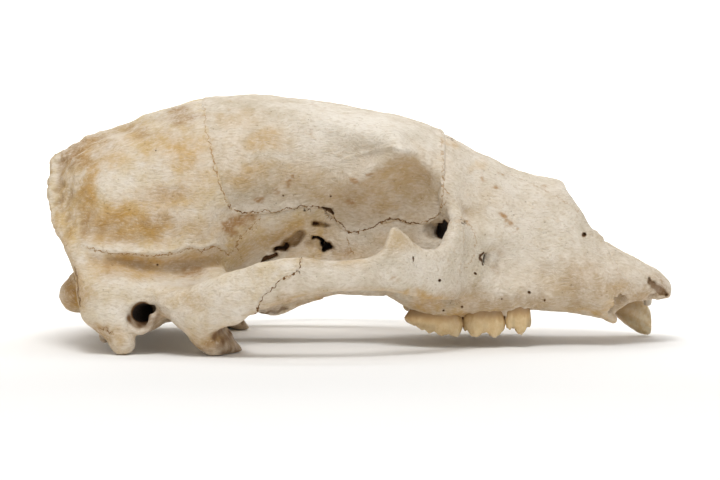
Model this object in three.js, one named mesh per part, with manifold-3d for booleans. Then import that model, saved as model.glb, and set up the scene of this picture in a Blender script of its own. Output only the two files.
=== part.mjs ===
// Skull of an adult American black bear, cranium only, resting on a flat surface.
// Millimetres. X runs from the back of the head to the nose, Y to the animal's left, Z up.
// The origin is at the middle of the skull's outline on the surface that it rests on.
//
// The bone is one smooth field: lofts and rods that flow together, less the hollows.
// Half of it is sampled on a grid, thinned to few faces, mirrored, and parted along its sutures.
import * as THREE from "three";
import { mergeVertices } from "three/addons/utils/BufferGeometryUtils.js";
import Module from "manifold-3d";

const wasm = await Module();
wasm.setup();

// Driving sizes of the whole skull
const FLOOR = 0; // the surface that the skull rests on
const NUCHAL_X = -143; // hindmost point, on the nuchal crest
const ARCH_Y = 77; // middle of the cheek arch at its widest
const SUTURE_GAP = 0.3; // clear space between neighbouring bones
const GRID = 1.6; // sampling step of the field
const HALF_FACES = 6000; // faces kept on one half of the bone

// Field tools: a negative value is bone, in millimetres near the surface

// A smooth curve through [place, value] pairs that doesn't overshoot them.
function curveThrough(pairs) {
  const n = pairs.length;
  const slopes = [];
  for (let i = 0; i < n - 1; i++)
    slopes.push((pairs[i + 1][1] - pairs[i][1]) / (pairs[i + 1][0] - pairs[i][0]));
  const tangents = [slopes[0]];
  for (let i = 1; i < n - 1; i++) {
    const [a, b] = [slopes[i - 1], slopes[i]];
    tangents.push(a * b <= 0 ? 0 : (2 * a * b) / (a + b));
  }
  tangents.push(slopes[n - 2]);
  return (at) => {
    if (at <= pairs[0][0]) return pairs[0][1];
    if (at >= pairs[n - 1][0]) return pairs[n - 1][1];
    let i = 0;
    while (at > pairs[i + 1][0]) i++;
    const step = pairs[i + 1][0] - pairs[i][0];
    const t = (at - pairs[i][0]) / step;
    const [t2, t3] = [t * t, t * t * t];
    return (
      (2 * t3 - 3 * t2 + 1) * pairs[i][1] +
      (t3 - 2 * t2 + t) * step * tangents[i] +
      (3 * t2 - 2 * t3) * pairs[i + 1][1] +
      (t3 - t2) * step * tangents[i + 1]
    );
  };
}

// Joins two fields with a fillet about as wide as blend.
function join(a, b, blend) {
  const h = Math.max(blend - Math.abs(a - b), 0) / blend;
  return Math.min(a, b) - (h * h * blend) / 4;
}

// Cuts the second field out of the first, with a rounded lip.
function carve(a, b, blend) {
  return -join(-a, b, blend);
}

// A body along X whose section is a rounded egg: half wide at height mid, from bottom up to top.
function loft(stations) {
  const keys = ["half", "top", "mid", "bottom", "side", "up", "down"];
  const curves = {};
  for (const key of keys)
    curves[key] = curveThrough(stations.map((s) => [s.x, s[key] ?? DEFAULTS[key]]));
  const [first, last] = [stations[0].x, stations[stations.length - 1].x];
  const now = {};
  return (x, y, z) => {
    if (x !== now.x) {
      now.x = x;
      const inside = Math.min(Math.max(x, first), last);
      for (const key of keys) now[key] = curves[key](inside);
    }
    const above = z > now.mid;
    const tall = above ? now.top - now.mid : now.mid - now.bottom;
    const power = above ? now.up : now.down;
    const across = Math.abs(y - now.side) / now.half;
    const high = Math.abs(z - now.mid) / tall;
    const reach = Math.pow(Math.pow(across, power) + Math.pow(high, power), 1 / power);
    const slant = Math.hypot(across / now.half, high / tall) / (Math.hypot(across, high) + 1e-6);
    const section = (reach - 1) / Math.max(slant, 1 / 60);
    const past = Math.max(first - x, x - last);
    return past > 0 ? Math.hypot(past, Math.max(section, 0)) : Math.max(section, past);
  };
}
const DEFAULTS = { side: 0, up: 2.2, down: 2.2 };

// A rod through points [x, y, z, radius], as one chain of tapering rods.
function rod(points) {
  return (x, y, z) => {
    let best = Infinity;
    for (let i = 0; i < points.length - 1; i++) {
      const [a, b] = [points[i], points[i + 1]];
      const [ux, uy, uz] = [b[0] - a[0], b[1] - a[1], b[2] - a[2]];
      const [px, py, pz] = [x - a[0], y - a[1], z - a[2]];
      const t = Math.min(Math.max((px * ux + py * uy + pz * uz) / (ux * ux + uy * uy + uz * uz), 0), 1);
      const gap = Math.hypot(px - t * ux, py - t * uy, pz - t * uz) - (a[3] + t * (b[3] - a[3]));
      best = Math.min(best, gap);
    }
    return best;
  };
}

// An egg of radii [rx, ry, rz] about a centre, tilted by lean degrees about the Y axis.
function egg([cx, cy, cz], [rx, ry, rz], lean = 0) {
  const [c, s] = [Math.cos((lean * Math.PI) / 180), Math.sin((lean * Math.PI) / 180)];
  return (x, y, z) => {
    const [dx, dz] = [x - cx, z - cz];
    const [u, v, w] = [(c * dx + s * dz) / rx, (y - cy) / ry, (c * dz - s * dx) / rz];
    const reach = Math.hypot(u, v, w);
    const slope = Math.hypot(u / rx, v / ry, w / rz);
    return (reach * (reach - 1)) / Math.max(slope, 1e-4);
  };
}

// The bones. Widths are half widths, as the skull is the same on both sides.

const vault = loft([
  { x: -134, half: 26, top: 86, mid: 66, bottom: 44 },
  { x: -128, half: 37, top: 90, mid: 62, bottom: 30 },
  { x: -118, half: 43, top: 94, mid: 60, bottom: 22 },
  { x: -105, half: 45.5, top: 98.8, mid: 60, bottom: 19 },
  { x: -88, half: 46.5, top: 106, mid: 62, bottom: 19 },
  { x: -70, half: 45, top: 111.8, mid: 66, bottom: 24 },
  { x: -50, half: 40.5, top: 114, mid: 73, bottom: 36 },
  { x: -30, half: 35, top: 112.6, mid: 80, bottom: 46, up: 2.4 },
  { x: -12, half: 32.5, top: 109.9, mid: 85, bottom: 52, up: 2.6 },
  { x: 5, half: 34.5, top: 106.7, mid: 88, bottom: 55, up: 2.8 },
  { x: 17, half: 38, top: 104.4, mid: 88, bottom: 54, up: 2.8, down: 2 },
  { x: 30, half: 36.5, top: 100.7, mid: 80, bottom: 48, up: 2.6 },
  { x: 42, half: 37, top: 94.7, mid: 66, bottom: 40, up: 2.2 },
  { x: 56, half: 31, top: 86.8, mid: 58, bottom: 38 },
  { x: 76, half: 22, top: 76.4, mid: 54, bottom: 40 },
  { x: 93, half: 15.5, top: 72.8, mid: 55, bottom: 45 },
]);

// The plate behind the brain, which fills the space inside the nuchal crest.
const occiput = loft([
  { x: -139, half: 22, top: 82, mid: 63, bottom: 56 },
  { x: -135.5, half: 32, top: 85, mid: 57, bottom: 49 },
  { x: -130, half: 41, top: 88, mid: 49, bottom: 41 },
  { x: -124.8, half: 47.5, top: 90, mid: 41, bottom: 33 },
  { x: -121.4, half: 51, top: 90, mid: 33, bottom: 22 },
  { x: -117, half: 52, top: 90, mid: 28, bottom: 16 },
].map((s) => ({ up: 1.35, down: 2.4, ...s })));

const skullBase = loft([
  { x: -128, half: 13, top: 40, mid: 30, bottom: 20 },
  { x: -112, half: 22, top: 46, mid: 30, bottom: 18.5 },
  { x: -90, half: 24, top: 50, mid: 32, bottom: 18 },
  { x: -65, half: 20, top: 62, mid: 40, bottom: 20 },
  { x: -48, half: 18, top: 68, mid: 46, bottom: 17 },
  { x: -38, half: 18, top: 70, mid: 48, bottom: 14.5 },
  { x: -28, half: 19, top: 74, mid: 50, bottom: 17.5 },
  { x: -8, half: 20, top: 80, mid: 54, bottom: 22 },
  { x: 8, half: 23, top: 82, mid: 50, bottom: 22.5 },
  { x: 22, half: 26, top: 80, mid: 40, bottom: 18, down: 3 },
  { x: 45, half: 30, top: 78, mid: 34, bottom: 17, down: 3.5 },
]);

const snout = loft([
  { x: 30, half: 28, top: 70, mid: 34, bottom: 17, up: 2.4, down: 3.5 },
  { x: 46, half: 35, top: 84, mid: 34, bottom: 17.2, up: 2.3, down: 3.6 },
  { x: 60, half: 34, top: 82.6, mid: 32, bottom: 16.8, up: 2.3, down: 4 },
  { x: 76, half: 31, top: 76.4, mid: 30, bottom: 15, up: 2.3, down: 4 },
  { x: 90, half: 28.5, top: 73.8, mid: 30, bottom: 12.8, up: 2.2, down: 3.6 },
  { x: 97, half: 27.7, top: 68.5, mid: 29, bottom: 11.2, up: 2.2, down: 3.2 },
  { x: 104, half: 27.5, top: 56.5, mid: 28, bottom: 11, up: 2.2, down: 2.8 },
  { x: 110, half: 27, top: 49, mid: 27, bottom: 12.4, up: 2.2, down: 2.6 },
  { x: 120, half: 23.5, top: 42, mid: 27, bottom: 16, up: 2.2, down: 2.4 },
  { x: 130, half: 19.5, top: 36.6, mid: 27, bottom: 18, up: 2.3 },
  { x: 138, half: 15, top: 31.8, mid: 25.6, bottom: 19, up: 2.4 },
  { x: 143.4, half: 9.5, top: 27.5, mid: 24.4, bottom: 20, up: 2.4 },
]);

// The side of the head over the ear, from the nuchal crest to the root of the arch.
const earShelf = loft([
  { x: -125, half: 50, top: 43, mid: 26, bottom: 17 },
  { x: -116, half: 56.5, top: 43.5, mid: 25, bottom: 14 },
  { x: -102, half: 58, top: 41.5, mid: 26, bottom: 17 },
  { x: -88, half: 58, top: 39, mid: 26, bottom: 19 },
  { x: -76, half: 60, top: 37, mid: 25, bottom: 16 },
  { x: -62, half: 52, top: 38, mid: 28, bottom: 19 },
]);

// The cheek arch: a tall thin bar that bows out from the ear to the face.
const cheekArch = loft([
  { x: -88, side: 58, half: 5, top: 27, bottom: 18 },
  { x: -80, side: 63, half: 5.5, top: 29.5, bottom: 13 },
  { x: -70, side: 67.5, half: 5.2, top: 33, bottom: 10 },
  { x: -57, side: 72, half: 4.6, top: 38.6, bottom: 15.5 },
  { x: -46, side: 75, half: 4.2, top: 42.5, bottom: 20.5 },
  { x: -35, side: 76.6, half: 4, top: 44.8, bottom: 24.6 },
  { x: -26, side: ARCH_Y, half: 3.8, top: 45.5, bottom: 27.6 },
  { x: -13, side: 76.4, half: 3.7, top: 43.7, bottom: 29.8 },
  { x: 0, side: 73.6, half: 3.8, top: 44.3, bottom: 30 },
  { x: 9, side: 70.6, half: 4, top: 47, bottom: 29.5 },
  { x: 14.3, side: 68.4, half: 3.6, top: 58.6, bottom: 28.8 },
  { x: 19.5, side: 66, half: 3.8, top: 55.6, bottom: 27.6 },
  { x: 24.5, side: 62.5, half: 4.2, top: 50.2, bottom: 26 },
  { x: 31, side: 57.5, half: 4.8, top: 47.2, bottom: 24.5 },
  { x: 38, side: 50, half: 6.5, top: 48.5, bottom: 23.5 },
  { x: 43, side: 43.5, half: 8, top: 53, bottom: 23 },
  { x: 48, side: 36, half: 9.5, top: 58, bottom: 22 },
  { x: 56, side: 29.5, half: 10.5, top: 58, bottom: 22 },
  { x: 70, side: 22, half: 11, top: 52, bottom: 24 },
].map((s) => ({ mid: (s.top + s.bottom) / 2, up: 2.6, down: 2.6, ...s })));

const nuchalCrest = rod([
  [-139, 0, 83.5, 2.4],
  [-140.6, 9, 79, 2.4],
  [NUCHAL_X + 2.2, 18, 70, 2.5],
  [-139.2, 26, 62, 2.6],
  [-135.8, 34, 54.5, 2.6],
  [-129.8, 42.5, 46, 2.8],
  [-124.2, 48.5, 36, 3.2],
  [-121, 52.5, 27, 4],
  [-119, 54.5, 18, 6],
]);
const sagittalCrest = rod([
  [-138.6, 0, 82.4, 2.2],
  [-133, 0, 86.8, 2.4],
  [-123, 0, 92.4, 2.6],
  [-111, 0, 95, 3],
  [-98, 0, 99.8, 3],
]);
const temporalLine = rod([
  [-98, 2, 101.5, 2.4],
  [-70, 12, 107.5, 2.4],
  [-40, 21, 105.5, 2.4],
  [-10, 27, 99.5, 2.4],
  [14, 36, 93.5, 2.6],
]);
const orbitRim = rod([
  [14, 37, 93, 4],
  [18, 43, 90.2, 2.4],
  [26, 36.5, 88.6, 2.6],
  [33, 34.5, 83, 2.8],
  [38.5, 35, 75.5, 3],
  [41.8, 37.5, 66, 3.2],
  [43, 42, 57, 3.4],
  [40.5, 47.5, 50.5, 3.6],
]);
const orbitBackRidge = rod([
  [18, 42, 89.5, 2.4],
  [5, 34.5, 81, 2.6],
  [-4, 29, 74, 2.6],
]);
// The raised edge of the temporal bone, from the nuchal crest to the root of the arch.
const temporalEdge = rod([
  [-127, 43, 47.4, 2.4],
  [-114, 45.4, 45.8, 2.6],
  [-100, 46, 45, 2.6],
  [-88, 45.2, 45, 2.4],
  [-76, 42.2, 46.2, 2],
  [-66, 38, 48, 1.2],
]);
const mastoid = rod([
  [-111, 50, 25, 12],
  [-108, 54, 14, 9.4],
  [-105.6, 56.5, 5.4, 6.4],
]);
const jugularProcess = rod([
  [-111.6, 37, 20, 6.6],
  [-114.8, 39.5, 6, 3.4],
]);
const condyle = rod([
  [-125.5, 25.5, 30, 6.2],
  [-129.4, 21, 23.6, 8.6],
  [-127.8, 12, 21, 6.8],
  [-120, 6, 20.5, 5],
]);
const earDrum = egg([-84, 31, 20.4], [16, 12, 7]);
const earTube = rod([
  [-86, 38, 20, 7],
  [-95.6, 54.5, 16.6, 6.6],
]);
const jawSocketBack = rod([
  [-74, 64, 19, 6.2],
  [-70.4, 62, 10.8, 4.8],
  [-64.4, 60, 4.2, 4.4],
]);
const jawSocketBackInner = rod([
  [-73, 47, 18.5, 6.2],
  [-68, 47.5, 10.5, 5.4],
  [-56.2, 47, 4, 4.5],
]);
const jawSocketEdge = rod([
  [-64.4, 62, 4.2, 4.4],
  [-56.2, 47, 4, 4.5],
]);
const jawSocketWeb = egg([-70, 55.5, 14], [8.5, 13, 12], 20);
const jawSocketRoof = rod([
  [-64, 44, 27, 9],
  [-58, 68, 26, 7.5],
]);
const jawSocketLip = rod([
  [-55.4, 50, 19, 4.3],
  [-54.4, 70, 18.6, 4.1],
]);
// The thin wall on each side of the throat, with a hook at its rear end.
const throatWall = loft([
  { x: -50, side: 15, half: 2.2, top: 30, mid: 20, bottom: 15 },
  { x: -46, side: 15.2, half: 2.6, top: 40, mid: 24, bottom: 13.6 },
  { x: -39, side: 15.8, half: 2.8, top: 46, mid: 28, bottom: 12.4 },
  { x: -28, side: 16.4, half: 3, top: 50, mid: 34, bottom: 17 },
  { x: -17, side: 17, half: 3.2, top: 50, mid: 36, bottom: 21.3 },
  { x: -6, side: 17.6, half: 3.6, top: 50, mid: 36, bottom: 22.9 },
  { x: 12, side: 20, half: 5, top: 50, mid: 36, bottom: 22 },
].map((s) => ({ up: 3, down: 3, ...s })));
const molarRidge = rod([
  [15, 27, 28, 5.4],
  [24, 28, 24.6, 7.4],
  [36, 27.5, 22.3, 8.8],
  [52, 26.5, 24, 8.8],
  [66, 25.5, 26.5, 8.2],
  [74, 25, 27, 7.6],
]);
const canineRidge = rod([
  [112.5, 20.5, 20, 6.8],
  [103, 22.5, 32, 7],
  [92, 20.5, 44, 5],
]);
const noseRim = rod([
  [91.5, 13, 69.4, 2.6],
  [98, 14.5, 62, 2.6],
  [103, 14.5, 53.5, 2.6],
  [111, 13.5, 44.4, 2.6],
  [124, 10.8, 36.8, 2.6],
  [137.6, 5.4, 29.6, 2.6],
]);

// The hollows
const orbit = egg([23, 50, 67], [18.5, 22, 21]);
const templeHollow = egg([-24, 57, 55], [44, 29, 33]);
const templeThrough = rod([
  [-46, 56, 34, 13],
  [-18, 50, 34, 17],
  [4, 48, 34, 14],
  [20, 47, 34, 9],
]);
const jawSocket = rod([
  [-49.5, 84, 8.8, 6.8],
  [-49.5, 36, 8.2, 6.6],
]);
const spinalHole = rod([
  [-145, 0, 32, 11.5],
  [-108, 0, 33, 10],
]);
const neckHollow = egg([-152, 24, 60], [17, 18, 16]);
const noseHollow = loft([
  { x: 52, half: 6, top: 66, mid: 54, bottom: 44 },
  { x: 66, half: 11, top: 68, mid: 55, bottom: 42 },
  { x: 92, half: 13.2, top: 69.8, mid: 54, bottom: 38.5 },
  { x: 104, half: 13.6, top: 75, mid: 56, bottom: 37 },
  { x: 116, half: 12, top: 70, mid: 52, bottom: 36.5 },
  { x: 128, half: 9, top: 60, mid: 46, bottom: 35 },
  { x: 138, half: 4, top: 50, mid: 40, bottom: 32 },
]);
const palateVault = loft([
  { x: -16, half: 11, top: 29, mid: 16, bottom: -4, up: 3 },
  { x: 6, half: 14, top: 27.5, mid: 14, bottom: -4, up: 3 },
  { x: 30, half: 18.5, top: 25, mid: 12, bottom: -4, up: 3 },
  { x: 78, half: 19.5, top: 24.5, mid: 12, bottom: -4, up: 3 },
  { x: 100, half: 17, top: 23.5, mid: 11, bottom: -4, up: 2.6 },
  { x: 118, half: 14.5, top: 22.5, mid: 10, bottom: -4, up: 2.4 },
  { x: 134, half: 9, top: 21.5, mid: 10, bottom: -4, up: 2.4 },
]);
const throat = loft([
  { x: -64, half: 9, top: 25, mid: 10, bottom: -6, up: 2.6 },
  { x: -50, half: 12, top: 34, mid: 16, bottom: -6, up: 2.6 },
  { x: -20, half: 12.6, top: 40, mid: 22, bottom: -6, up: 2.8 },
  { x: -4, half: 12.6, top: 39.5, mid: 33, bottom: 27, up: 2.4, down: 2.4 },
  { x: 12, half: 9, top: 37, mid: 33, bottom: 29, up: 2.4, down: 2.4 },
]);
const earHole = rod([
  [-84, 34, 20.6, 2.6],
  [-92, 49, 18.4, 4.2],
  [-98, 62, 17, 5.2],
]);
const cheekHole = rod([
  [72, 38, 40, 2.6],
  [56, 34.5, 41, 3],
  [46, 29, 44, 3],
]);
const cheekHollow = egg([68, 39.5, 39], [11, 7, 9]);
const orbitHole = rod([
  [30, 20, 52, 3],
  [38, 40, 54, 4.4],
]);

function bone(x, y, z) {
  const s = Math.abs(y);
  let f = join(vault(x, y, z), skullBase(x, y, z), 9);
  f = join(f, occiput(x, y, z), 6);
  f = join(f, snout(x, y, z), 7);
  f = carve(f, templeHollow(x, s, z), 6);
  f = join(f, earShelf(x, y, z), 9);
  f = join(f, join(sagittalCrest(x, y, z), temporalLine(x, s, z), 4), 8);
  f = carve(f, neckHollow(x, s, z), 8);
  f = join(f, temporalEdge(x, s, z), 6);
  f = join(f, nuchalCrest(x, s, z), 6);
  f = join(f, join(mastoid(x, s, z), jugularProcess(x, s, z), 4), 7);
  f = join(f, condyle(x, s, z), 5);
  f = join(f, join(earDrum(x, s, z), earTube(x, s, z), 4), 3);
  f = join(f, jawSocketRoof(x, s, z), 8);
  f = carve(f, templeThrough(x, s, z), 5);
  f = carve(f, orbit(x, s, z), 5);
  f = join(f, join(orbitRim(x, s, z), orbitBackRidge(x, s, z), 3), 6);
  f = join(f, cheekArch(x, s, z), 7);
  f = join(f, molarRidge(x, s, z), 6);
  f = join(f, canineRidge(x, s, z), 8);
  const sides = join(jawSocketBack(x, s, z), jawSocketBackInner(x, s, z), 7);
  const socket = join(sides, jawSocketWeb(x, s, z), 5);
  f = join(f, join(socket, jawSocketEdge(x, s, z), 4), 5);
  f = join(f, jawSocketLip(x, s, z), 4);
  f = carve(f, jawSocket(x, s, z), 3);
  f = carve(f, palateVault(x, y, z), 5);
  f = carve(f, throat(x, y, z), 4);
  f = join(f, throatWall(x, s, z), 3);
  f = carve(f, noseHollow(x, y, z), 3);
  f = join(f, noseRim(x, s, z), 3);
  f = carve(f, spinalHole(x, y, z), 3);
  f = carve(f, earHole(x, s, z), 1.5);
  f = carve(f, cheekHollow(x, s, z), 6);
  f = carve(f, cheekHole(x, s, z), 1.5);
  return carve(f, orbitHole(x, s, z), 2);
}

// Sampling: marching tetrahedra on one half, Y from just below 0
const LOW = [-150, -2 * GRID, -3];
const HIGH = [150, 86, 120];

// Every cube is split into six tetrahedra round its long diagonal, so neighbours agree.
const CORNERS = [
  [0, 1, 3, 7],
  [0, 1, 5, 7],
  [0, 4, 5, 7],
  [0, 4, 6, 7],
  [0, 2, 6, 7],
  [0, 2, 3, 7],
];

function sampleField(field) {
  const size = LOW.map((low, axis) => Math.ceil((HIGH[axis] - low) / GRID) + 1);
  const [nx, ny, nz] = size;
  const values = new Float32Array(nx * ny * nz);
  const at = (i, j, k) => (i * ny + j) * nz + k;
  const value = (i, j, k) => field(LOW[0] + i * GRID, LOW[1] + j * GRID, LOW[2] + k * GRID);
  const BLOCK = 4; // blocks far from the surface are filled with one value
  const far = BLOCK * GRID * 1.9;
  for (let i = 0; i < nx; i += BLOCK)
    for (let j = 0; j < ny; j += BLOCK)
      for (let k = 0; k < nz; k += BLOCK) {
        const middle = value(i + BLOCK / 2, j + BLOCK / 2, k + BLOCK / 2);
        const flat = Math.abs(middle) > far;
        for (let a = i; a < Math.min(i + BLOCK, nx); a++)
          for (let b = j; b < Math.min(j + BLOCK, ny); b++)
            for (let c = k; c < Math.min(k + BLOCK, nz); c++)
              values[at(a, b, c)] = flat ? middle : value(a, b, c);
      }
  for (let i = 0; i < nx; i++)
    for (let j = 0; j < ny; j++)
      for (let k = 0; k < nz; k++) {
        const edge = i === 0 || j === 0 || k === 0 || i === nx - 1 || j === ny - 1 || k === nz - 1;
        if (edge) values[at(i, j, k)] = Math.max(values[at(i, j, k)], GRID / 2);
      }
  return { values, size, at };
}

function surfaceOf({ values, size: [nx, ny, nz], at }) {
  const points = [];
  const faces = [];
  const known = new Map();
  const place = (n) => [
    LOW[0] + Math.floor(n / (ny * nz)) * GRID,
    LOW[1] + (Math.floor(n / nz) % ny) * GRID,
    LOW[2] + (n % nz) * GRID,
  ];
  const crossing = (a, b) => {
    const key = a < b ? a * values.length + b : b * values.length + a;
    if (known.has(key)) return known.get(key);
    const t = Math.min(Math.max(values[a] / (values[a] - values[b]), 0.06), 0.94);
    const [p, q] = [place(a), place(b)];
    points.push(p.map((v, axis) => v + t * (q[axis] - v)));
    known.set(key, points.length - 1);
    return points.length - 1;
  };
  // The face is turned so that its normal points from bone to air.
  const addFace = (a, b, c, inside) => {
    const [p, q, r] = [points[a], points[b], points[c]];
    const u = [q[0] - p[0], q[1] - p[1], q[2] - p[2]];
    const v = [r[0] - p[0], r[1] - p[1], r[2] - p[2]];
    const n = [u[1] * v[2] - u[2] * v[1], u[2] * v[0] - u[0] * v[2], u[0] * v[1] - u[1] * v[0]];
    const m = place(inside);
    const outward = n[0] * (p[0] - m[0]) + n[1] * (p[1] - m[1]) + n[2] * (p[2] - m[2]) > 0;
    faces.push(outward ? [a, b, c] : [a, c, b]);
  };
  for (let i = 0; i < nx - 1; i++)
    for (let j = 0; j < ny - 1; j++)
      for (let k = 0; k < nz - 1; k++) {
        const cube = [];
        for (let c = 0; c < 8; c++) cube.push(at(i + (c & 1), j + ((c >> 1) & 1), k + (c >> 2)));
        const full = cube.filter((n) => values[n] < 0).length;
        if (full === 0 || full === 8) continue;
        for (const corners of CORNERS) {
          const tetra = corners.map((c) => cube[c]);
          const inside = tetra.filter((n) => values[n] < 0);
          const outside = tetra.filter((n) => values[n] >= 0);
          if (inside.length === 1)
            addFace(...outside.map((n) => crossing(inside[0], n)), inside[0]);
          if (inside.length === 3)
            addFace(...inside.map((n) => crossing(n, outside[0])), inside[0]);
          if (inside.length === 2) {
            const [a, b] = inside;
            const ring = [
              crossing(a, outside[0]),
              crossing(a, outside[1]),
              crossing(b, outside[1]),
              crossing(b, outside[0]),
            ];
            addFace(ring[0], ring[1], ring[2], a);
            addFace(ring[0], ring[2], ring[3], a);
          }
        }
      }
  return { points, faces };
}

// Thinning: the edge whose removal moves the surface least goes first
function thin({ points, faces }, wanted) {
  const quadrics = points.map(() => new Float64Array(10));
  const around = points.map(() => new Set());
  const alive = faces.map(() => true);
  const planeOf = ([a, b, c]) => {
    const [p, q, r] = [points[a], points[b], points[c]];
    const n = new THREE.Vector3(q[0] - p[0], q[1] - p[1], q[2] - p[2]);
    n.cross(new THREE.Vector3(r[0] - p[0], r[1] - p[1], r[2] - p[2]));
    const area = n.length() / 2;
    n.normalize();
    return { n, area, d: -(n.x * p[0] + n.y * p[1] + n.z * p[2]) };
  };
  faces.forEach((face, f) => {
    const { n, area, d } = planeOf(face);
    const terms = [n.x * n.x, n.x * n.y, n.x * n.z, n.x * d, n.y * n.y, n.y * n.z, n.y * d, n.z * n.z, n.z * d, d * d];
    for (const v of face) {
      terms.forEach((term, i) => (quadrics[v][i] += term * area));
      around[v].add(f);
    }
  });
  const error = (q, [x, y, z]) =>
    q[0] * x * x + 2 * q[1] * x * y + 2 * q[2] * x * z + 2 * q[3] * x + q[4] * y * y +
    2 * q[5] * y * z + 2 * q[6] * y + q[7] * z * z + 2 * q[8] * z + q[9];
  // The best place for the merged point, or its middle where the surface is flat.
  const bestPlace = (q, p, r) => {
    const middle = p.map((v, i) => (v + r[i]) / 2);
    const pull = 1e-3 * (q[0] + q[4] + q[7]) + 1e-9;
    const m = new THREE.Matrix3().set(
      q[0] + pull, q[1], q[2],
      q[1], q[4] + pull, q[5],
      q[2], q[5], q[7] + pull,
    );
    if (Math.abs(m.determinant()) < 1e-12) return middle;
    const b = new THREE.Vector3(
      -q[3] + pull * middle[0],
      -q[6] + pull * middle[1],
      -q[8] + pull * middle[2],
    );
    b.applyMatrix3(m.invert());
    const moved = Math.hypot(b.x - middle[0], b.y - middle[1], b.z - middle[2]);
    return moved > 2 * Math.hypot(p[0] - r[0], p[1] - r[1], p[2] - r[2]) ? middle : b.toArray();
  };
  const stamp = new Int32Array(points.length);
  const heap = [];
  const lift = (item) => {
    let i = heap.push(item) - 1;
    while (i > 0) {
      const up = (i - 1) >> 1;
      if (heap[up].cost <= item.cost) break;
      heap[i] = heap[up];
      i = up;
    }
    heap[i] = item;
  };
  const takeLeast = () => {
    const least = heap[0];
    const item = heap.pop();
    if (heap.length === 0) return least;
    let i = 0;
    for (;;) {
      let down = 2 * i + 1;
      if (down >= heap.length) break;
      if (down + 1 < heap.length && heap[down + 1].cost < heap[down].cost) down++;
      if (heap[down].cost >= item.cost) break;
      heap[i] = heap[down];
      i = down;
    }
    heap[i] = item;
    return least;
  };
  const EVEN = 2e-4; // how much long edges are spared, so that faces stay even
  const consider = (a, b) => {
    const q = quadrics[a].map((v, i) => v + quadrics[b][i]);
    const spot = bestPlace(q, points[a], points[b]);
    const long = Math.hypot(...points[a].map((v, i) => v - points[b][i]));
    const cost = Math.max(error(q, spot), 0) + EVEN * long ** 4;
    lift({ cost, a, b, spot, stampA: stamp[a], stampB: stamp[b] });
  };
  const neighbours = (v) => {
    const found = new Set();
    for (const f of around[v]) for (const w of faces[f]) if (w !== v) found.add(w);
    return found;
  };
  const normalWith = (face, from, spot) => {
    const [p, q, r] = face.map((v) => (v === from ? spot : points[v]));
    const n = new THREE.Vector3(q[0] - p[0], q[1] - p[1], q[2] - p[2]);
    return n.cross(new THREE.Vector3(r[0] - p[0], r[1] - p[1], r[2] - p[2]));
  };
  const turnsOver = (v, other, spot) => {
    for (const f of around[v]) {
      if (faces[f].includes(other)) continue;
      const before = normalWith(faces[f], -1, spot);
      const after = normalWith(faces[f], v, spot);
      if (after.length() < 1e-4 || before.dot(after) < 0.35 * before.length() * after.length())
        return true;
    }
    return false;
  };
  faces.forEach(([a, b, c]) => {
    for (const [p, q] of [[a, b], [b, c], [c, a]]) if (p < q) consider(p, q);
  });
  let left = faces.length;
  while (left > wanted && heap.length > 0) {
    const { a, b, spot, stampA, stampB } = takeLeast();
    if (stamp[a] !== stampA || stamp[b] !== stampB) continue;
    const nearA = neighbours(a);
    const shared = [...neighbours(b)].filter((v) => nearA.has(v));
    if (shared.length !== 2 || turnsOver(a, b, spot) || turnsOver(b, a, spot)) continue;
    points[a] = spot;
    quadrics[a] = quadrics[a].map((v, i) => v + quadrics[b][i]);
    for (const f of around[b]) {
      if (faces[f].includes(a)) {
        alive[f] = false;
        left--;
        for (const v of faces[f]) if (v !== b) around[v].delete(f);
      } else {
        faces[f] = faces[f].map((v) => (v === b ? a : v));
        around[a].add(f);
      }
    }
    around[b].clear();
    stamp[b] = -1;
    stamp[a]++;
    for (const v of neighbours(a)) consider(a, v);
  }
  return { points, faces: faces.filter((_, f) => alive[f]) };
}

// Solids

function solidFrom({ points, faces }) {
  const used = new Map();
  const vertProperties = [];
  const triVerts = faces.flat().map((v) => {
    if (!used.has(v)) {
      used.set(v, used.size);
      vertProperties.push(...points[v]);
    }
    return used.get(v);
  });
  return new wasm.Manifold(
    new wasm.Mesh({
      numProp: 3,
      vertProperties: new Float32Array(vertProperties),
      triVerts: new Uint32Array(triVerts),
    }),
  );
}

function solidOf(geometry) {
  const bare = geometry.index ? geometry.toNonIndexed() : geometry.clone();
  bare.deleteAttribute("normal");
  bare.deleteAttribute("uv");
  const merged = mergeVertices(bare, 1e-4);
  return new wasm.Manifold(
    new wasm.Mesh({
      numProp: 3,
      vertProperties: new Float32Array(merged.attributes.position.array),
      triVerts: new Uint32Array(merged.index.array),
    }),
  );
}

// The largest closed surface of a solid, so that no scrap of a cut is left beside it.
function largest(solid) {
  return solid.decompose().sort((a, b) => b.volume() - a.volume())[0];
}

// A thin wall along an open line of [u, v] points, from w = near to w = far, SUTURE_GAP thick.
// placePoint turns [u, v, w] into the skull's [x, y, z].
function sutureWall(line, near, far, placePoint) {
  const corners = [];
  line.forEach(([u, v], i) => {
    const [before, after] = [line[Math.max(i - 1, 0)], line[Math.min(i + 1, line.length - 1)]];
    const run = Math.hypot(after[0] - before[0], after[1] - before[1]);
    const [nu, nv] = [-(after[1] - before[1]) / run, (after[0] - before[0]) / run];
    for (const [side, w] of [[-0.5, near], [0.5, near], [0.5, far], [-0.5, far]])
      corners.push(placePoint(u + side * SUTURE_GAP * nu, v + side * SUTURE_GAP * nv, w));
  });
  const index = [0, 1, 2, 0, 2, 3];
  for (let i = 0; i + 4 < corners.length; i += 4)
    for (let k = 0; k < 4; k++) {
      const [a, b] = [i + k, i + ((k + 1) % 4)];
      index.push(a, a + 4, b + 4, a, b + 4, b);
    }
  const e = corners.length - 4;
  index.push(e, e + 2, e + 1, e, e + 3, e + 2);
  return facing(corners, index);
}

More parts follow.
